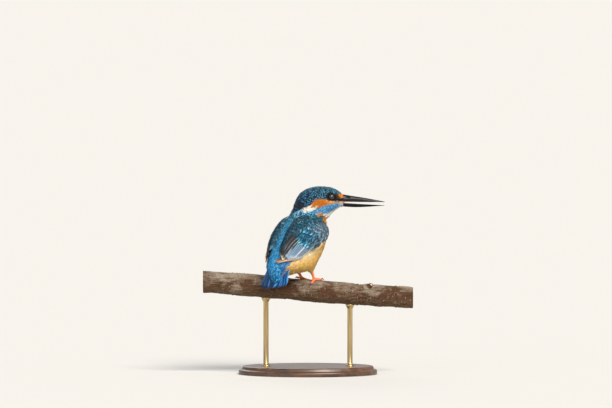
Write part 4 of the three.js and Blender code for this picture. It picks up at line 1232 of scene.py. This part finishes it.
# ---------------------------------------------------------------- body and head feathers
# Some thousands of small feathers, smallest round the bill and eyes and longest on the belly and
# rump, rooted all over the skin and lying back from the bill and down towards the tail and toes.
bill_root = (33.0, head_plane, 165.0)
eye_places = [(eye_centre[0], head_plane + side * eye_centre[1], eye_centre[2]) for side in (-1, 1)]
candidates, body_spacing, wing_margin = 140000, 1.28, 1.4
tail_way = bird(tail_tip[0] - tail_root[0], 0.0, tail_tip[1] - tail_root[1])
looks = {  # longer, width to length; slot, finish, lift, cup, fray, hug, spot, darkness at the root
    "crown": (1.05, 0.56, "plumage_dark", "soft", 0.10, 0.22, 0.06, 1.0, "bar", 0.35),
    "nape": (1.25, 0.46, "plumage_dark", "soft", 0.09, 0.25, 0.08, 0.9, "bar", 0.45),
    "cheek": (1.3, 0.34, "plumage_orange", "loose", 0.10, 0.22, 0.14, 0.9, "drop", 0.75),
    "throat": (1.1, 0.42, "plumage_dark", "soft", 0.10, 0.22, 0.10, 0.9, "drop", 0.65),
    "breast": (1.3, 0.3, "plumage_orange", "loose", 0.05, 0.2, 0.1, 0.8, "drop", 0.95),
    "back": (1.05, 0.42, "plumage_dark", "soft", 0.07, 0.25, 0.10, 0.9, "drop", 0.3),
    "rump": (1.1, 0.3, "plumage_blue", "soft", 0.055, 0.25, 0.12, 0.4, "drop", 0.3),
    "belly_right": (1.3, 0.27, "plumage_orange", "loose", 0.05, 0.2, 0.1, 0.75, "drop", 0.95),
    "belly_left": (1.3, 0.27, "plumage_orange", "loose", 0.05, 0.2, 0.1, 0.75, "drop", 0.95),
}
loose_vane = barbed(
    "loose_vane", 0.4, Roughness=0.8, Specular_IOR_Level=0.1, Subsurface_Weight=0.45,
    Subsurface_Radius=(0.0014, 0.0008, 0.0004), Subsurface_Scale=1.0,
)


def flow_on(ahead, aside, height, lines, to_world):
    """The way the feathers lie: along the slices, from the last to the first."""
    along, angle = slice_of(ahead, aside, height, lines)

    def at(share):
        top, bottom = (line(np.clip(share, 0, 1)) for line in lines)
        middle = (top[:, :2] + bottom[:, :2]) / 2 + (top[:, :2] - bottom[:, :2]) / 2 * np.cos(angle)[:, None]
        return to_world(middle[:, 0], top[:, 2] * np.sin(angle), middle[:, 1])

    return unit(at(along - 0.03) - at(along + 0.03))


def above_tail(ahead, height):
    return falling(height, 104, 6) * falling(ahead, -36, 6)


def lie_of(points):
    """The way a feather lies at each point: off the bill, round the eyes, and down the body and legs."""
    ahead, right, height = in_body(points)
    lie = flow_on(ahead, right, height, body_lines, bird)
    head_out = head_plane - points[:, 1]
    head = flow_on(points[:, 0], head_out, height, head_lines, lambda x, out, z: xyz(x, head_plane - out, z))
    lie = unit(paint_over(lie, head, rising(share_of_head(points), 0.2, 0.6)))
    for _, ankle, _ in legs.values():
        gap = bird(*ankle) - points
        near = falling(np.linalg.norm(gap[:, :2], axis=1), 9, 4) * falling(points[:, 2], 105, 3)
        lie = unit(paint_over(lie, unit(gap), near))
    lie = unit(paint_over(lie, unit(tail_way), above_tail(ahead, height)))
    for eye in eye_places:
        gap = points - eye
        near = falling(np.linalg.norm(gap, axis=1), 7, 3)[:, None]
        facing = np.maximum(-np.sum(lie * unit(gap), -1, keepdims=True), 0)
        lie = unit(lie + unit(gap) * (facing * 1.3 + 0.15) * near)
    return lie


def tree_of(points):
    tree = KDTree(len(points))
    for number, point in enumerate(points.tolist()):
        tree.insert(point, number)
    tree.balance()
    return tree


# Seeds are strewn evenly over the skin, and each in turn is kept if no kept one is too near it.
first, second, third = np.moveaxis(flesh[skin_triangles], 1, 0)
areas = np.linalg.norm(np.cross(second - first, third - first), axis=1)
picked = chance.choice(len(areas), candidates, p=areas / areas.sum())
u, v = chance.random((2, candidates, 1))
fold = (u + v) > 1
u, v = np.where(fold, 1 - u, u), np.where(fold, 1 - v, v)
first, second, third = first[picked], second[picked], third[picked]
seeds = first + u * (second - first) + v * (third - first)
from_bill, on_head = np.linalg.norm(seeds - bill_root, axis=1), share_of_head(seeds)
spacing = body_spacing + (np.clip(0.54 + 0.027 * from_bill, 0.6, 1.5) - body_spacing) * on_head

wing_cells = []
for _, sign in wing_sides:
    covered = np.meshgrid(np.linspace(0.02, 0.9, 60), np.linspace(0.03, 1.05, 36))
    reach, across = (grid.ravel() for grid in covered)
    inner = (reach < 0.5) | ((across > 0.08) & (across < 0.92))
    reach, across = reach[inner], across[inner]
    wing_cells.append(wing_point(sign, reach, across, height_on_cover(sign, reach, across) - 0.3))
wing_tree, seed_tree = tree_of(np.concatenate(wing_cells)), tree_of(seeds)
taken, chosen = np.zeros(candidates, bool), []
for number, seed in enumerate(seeds.tolist()):
    if not taken[number]:
        taken[[other for _, other, _ in seed_tree.find_range(seed, float(spacing[number]))]] = True
        if wing_tree.find(seed)[2] > wing_margin:
            chosen.append(number)

# None grow on the eyes, the feet, the bill, under the tail or in the corners of the mouth.
roots, on_head = seeds[chosen], on_head[chosen]
x, z, ahead = roots[:, 0], roots[:, 2], in_body(roots)[0]
from_eye = np.min([np.linalg.norm(roots - eye, axis=1) for eye in eye_places], axis=0)
bare = from_eye < eye_radius + 0.15
bare |= (z < 98.2) & (on_head < 0.1) & (ahead > -14)
bare |= (x > 33.4) & (on_head > 0.5)
bare |= (list(nearest_on(skin_tree, roots))[1][:, 2] < -0.8) & (ahead < -38)
bare |= (np.abs(roots[:, 1] - head_plane) < 4.4) & (x > 26) & (np.abs(z - 164) < 1.6)
roots, spacing, on_head, from_eye = (v[~bare] for v in (roots, spacing[chosen], on_head, from_eye))

headings, x = lie_of(roots), roots[:, 0]
ahead, right, height = in_body(roots)
body_length = 4.6 + 2.0 * falling(height, 118, 22) + 6.0 * above_tail(ahead, height)
body_length = np.where((height < 99.5) & (ahead > -16), 3.4, body_length)
head_length = spacing * 2.9 * (0.62 + 0.38 * rising(from_eye, 3.6, 4))
full_neck = hump(height - 149, 4.5) * rising(x, 8, 5)
length = (body_length + (head_length - body_length) * on_head) * (1 + 0.3 * full_neck)
stand = 1.3 * hump(height - 158, 9) * falling(x, -2, 6) * (on_head > 0.05)
stand += 0.7 * np.clip((on_head < 0.5) * (ahead + 4) / 12, 0, 1) * (height < 140) + 1.1 * full_neck
tip_places, _ = nearest_on(skin_tree, roots + headings * (0.65 * length)[:, None])
tones = markings(tip_places + chance.normal(0, 0.22, (len(roots), 3)))
orange = tones[0][:, 0] > 2.2 * tones[0][:, 2]
low, head, high = (on_head < 0.3) & (height < 112), on_head >= 0.5, height > 166
groups = {
    "crown": head & ~orange & high, "nape": head & ~orange & ~high & (x < 8), "cheek": head & orange,
    "throat": head & ~orange & ~high & (x >= 8), "breast": ~head & orange & ~low,
    "back": ~head & ~orange & ~low, "rump": low & ~orange, "belly_right": low & orange & (right >= 0),
    "belly_left": low & orange & (right < 0),
}
for group, member in groups.items():
    longer, ratio, slot, vane_kind, *look = looks[group]
    reach = length[member] * longer * chance.uniform(0.85, 1.15, member.sum())
    lay_feathers(
        f"feathers_{group}", skin_tree, roots[member], headings[member], reach, reach * ratio,
        [tone[member] for tone in tones], stand[member],
        (slot, soft_vane if vane_kind == "soft" else loose_vane, *look),
    )

# ---------------------------------------------------------------- room
# A plain pale floor, a broad warm light high in front, a wide fill from the left and a rim light
# from behind, and a camera nearly level with the bird and square to its bill.
seen_width, camera_distance, camera_rise = 0.5829, 6.0, math.radians(2.0)
aim = Vector((-0.0019, 0.0, 0.1622))
lamps = {  # where from, how wide in degrees, strength and colour
    "key": ((0.5, -1.0, 0.95), 26, 4.6, (1.0, 0.95, 0.87)),
    "fill": ((-1.0, -1.3, 0.6), 50, 0.5, (0.9, 0.95, 1.0)),
    "rim": ((-0.3, 1.2, 0.9), 30, 0.7, (1.0, 0.98, 0.94)),
}

bpy.ops.mesh.primitive_plane_add(size=2400)
floor = bpy.context.object
floor.name = "floor"
paint = new_finish("pale_floor", Base_Color=(0.6, 0.59, 0.57, 1), Roughness=1.0, Specular_IOR_Level=0.0)
floor.data.materials.append(paint)

scene = bpy.context.scene
scene.world = bpy.data.worlds.new("studio")
scene.world.use_nodes = True
daylight = scene.world.node_tree.nodes["Background"].inputs
daylight["Color"].default_value, daylight["Strength"].default_value = (0.92, 0.95, 1.0, 1), 0.48


def hang(name, thing, spot, facing):
    """Puts a lamp or camera in its place, turned towards what it faces."""
    hung = bpy.data.objects.new(name, thing)
    hung.location, hung.rotation_euler = spot, facing.to_track_quat("-Z", "Y").to_euler()
    scene.collection.objects.link(hung)
    return hung


for name, (spot, spread, power, colour) in lamps.items():
    lamp = bpy.data.lights.new(name, "SUN")
    lamp.angle, lamp.energy, lamp.color = math.radians(spread), power, colour
    hang(name, lamp, spot, -Vector(spot))
lens = bpy.data.cameras.new("camera")
lens.sensor_width, lens.lens = 36, 36 * camera_distance / seen_width
lens.clip_start, lens.clip_end = 0.5, 3000
back = Vector((0, -math.cos(camera_rise), math.sin(camera_rise)))
scene.camera = hang("camera", lens, aim + back * camera_distance, -back)
scene.view_settings.view_transform = "Standard"
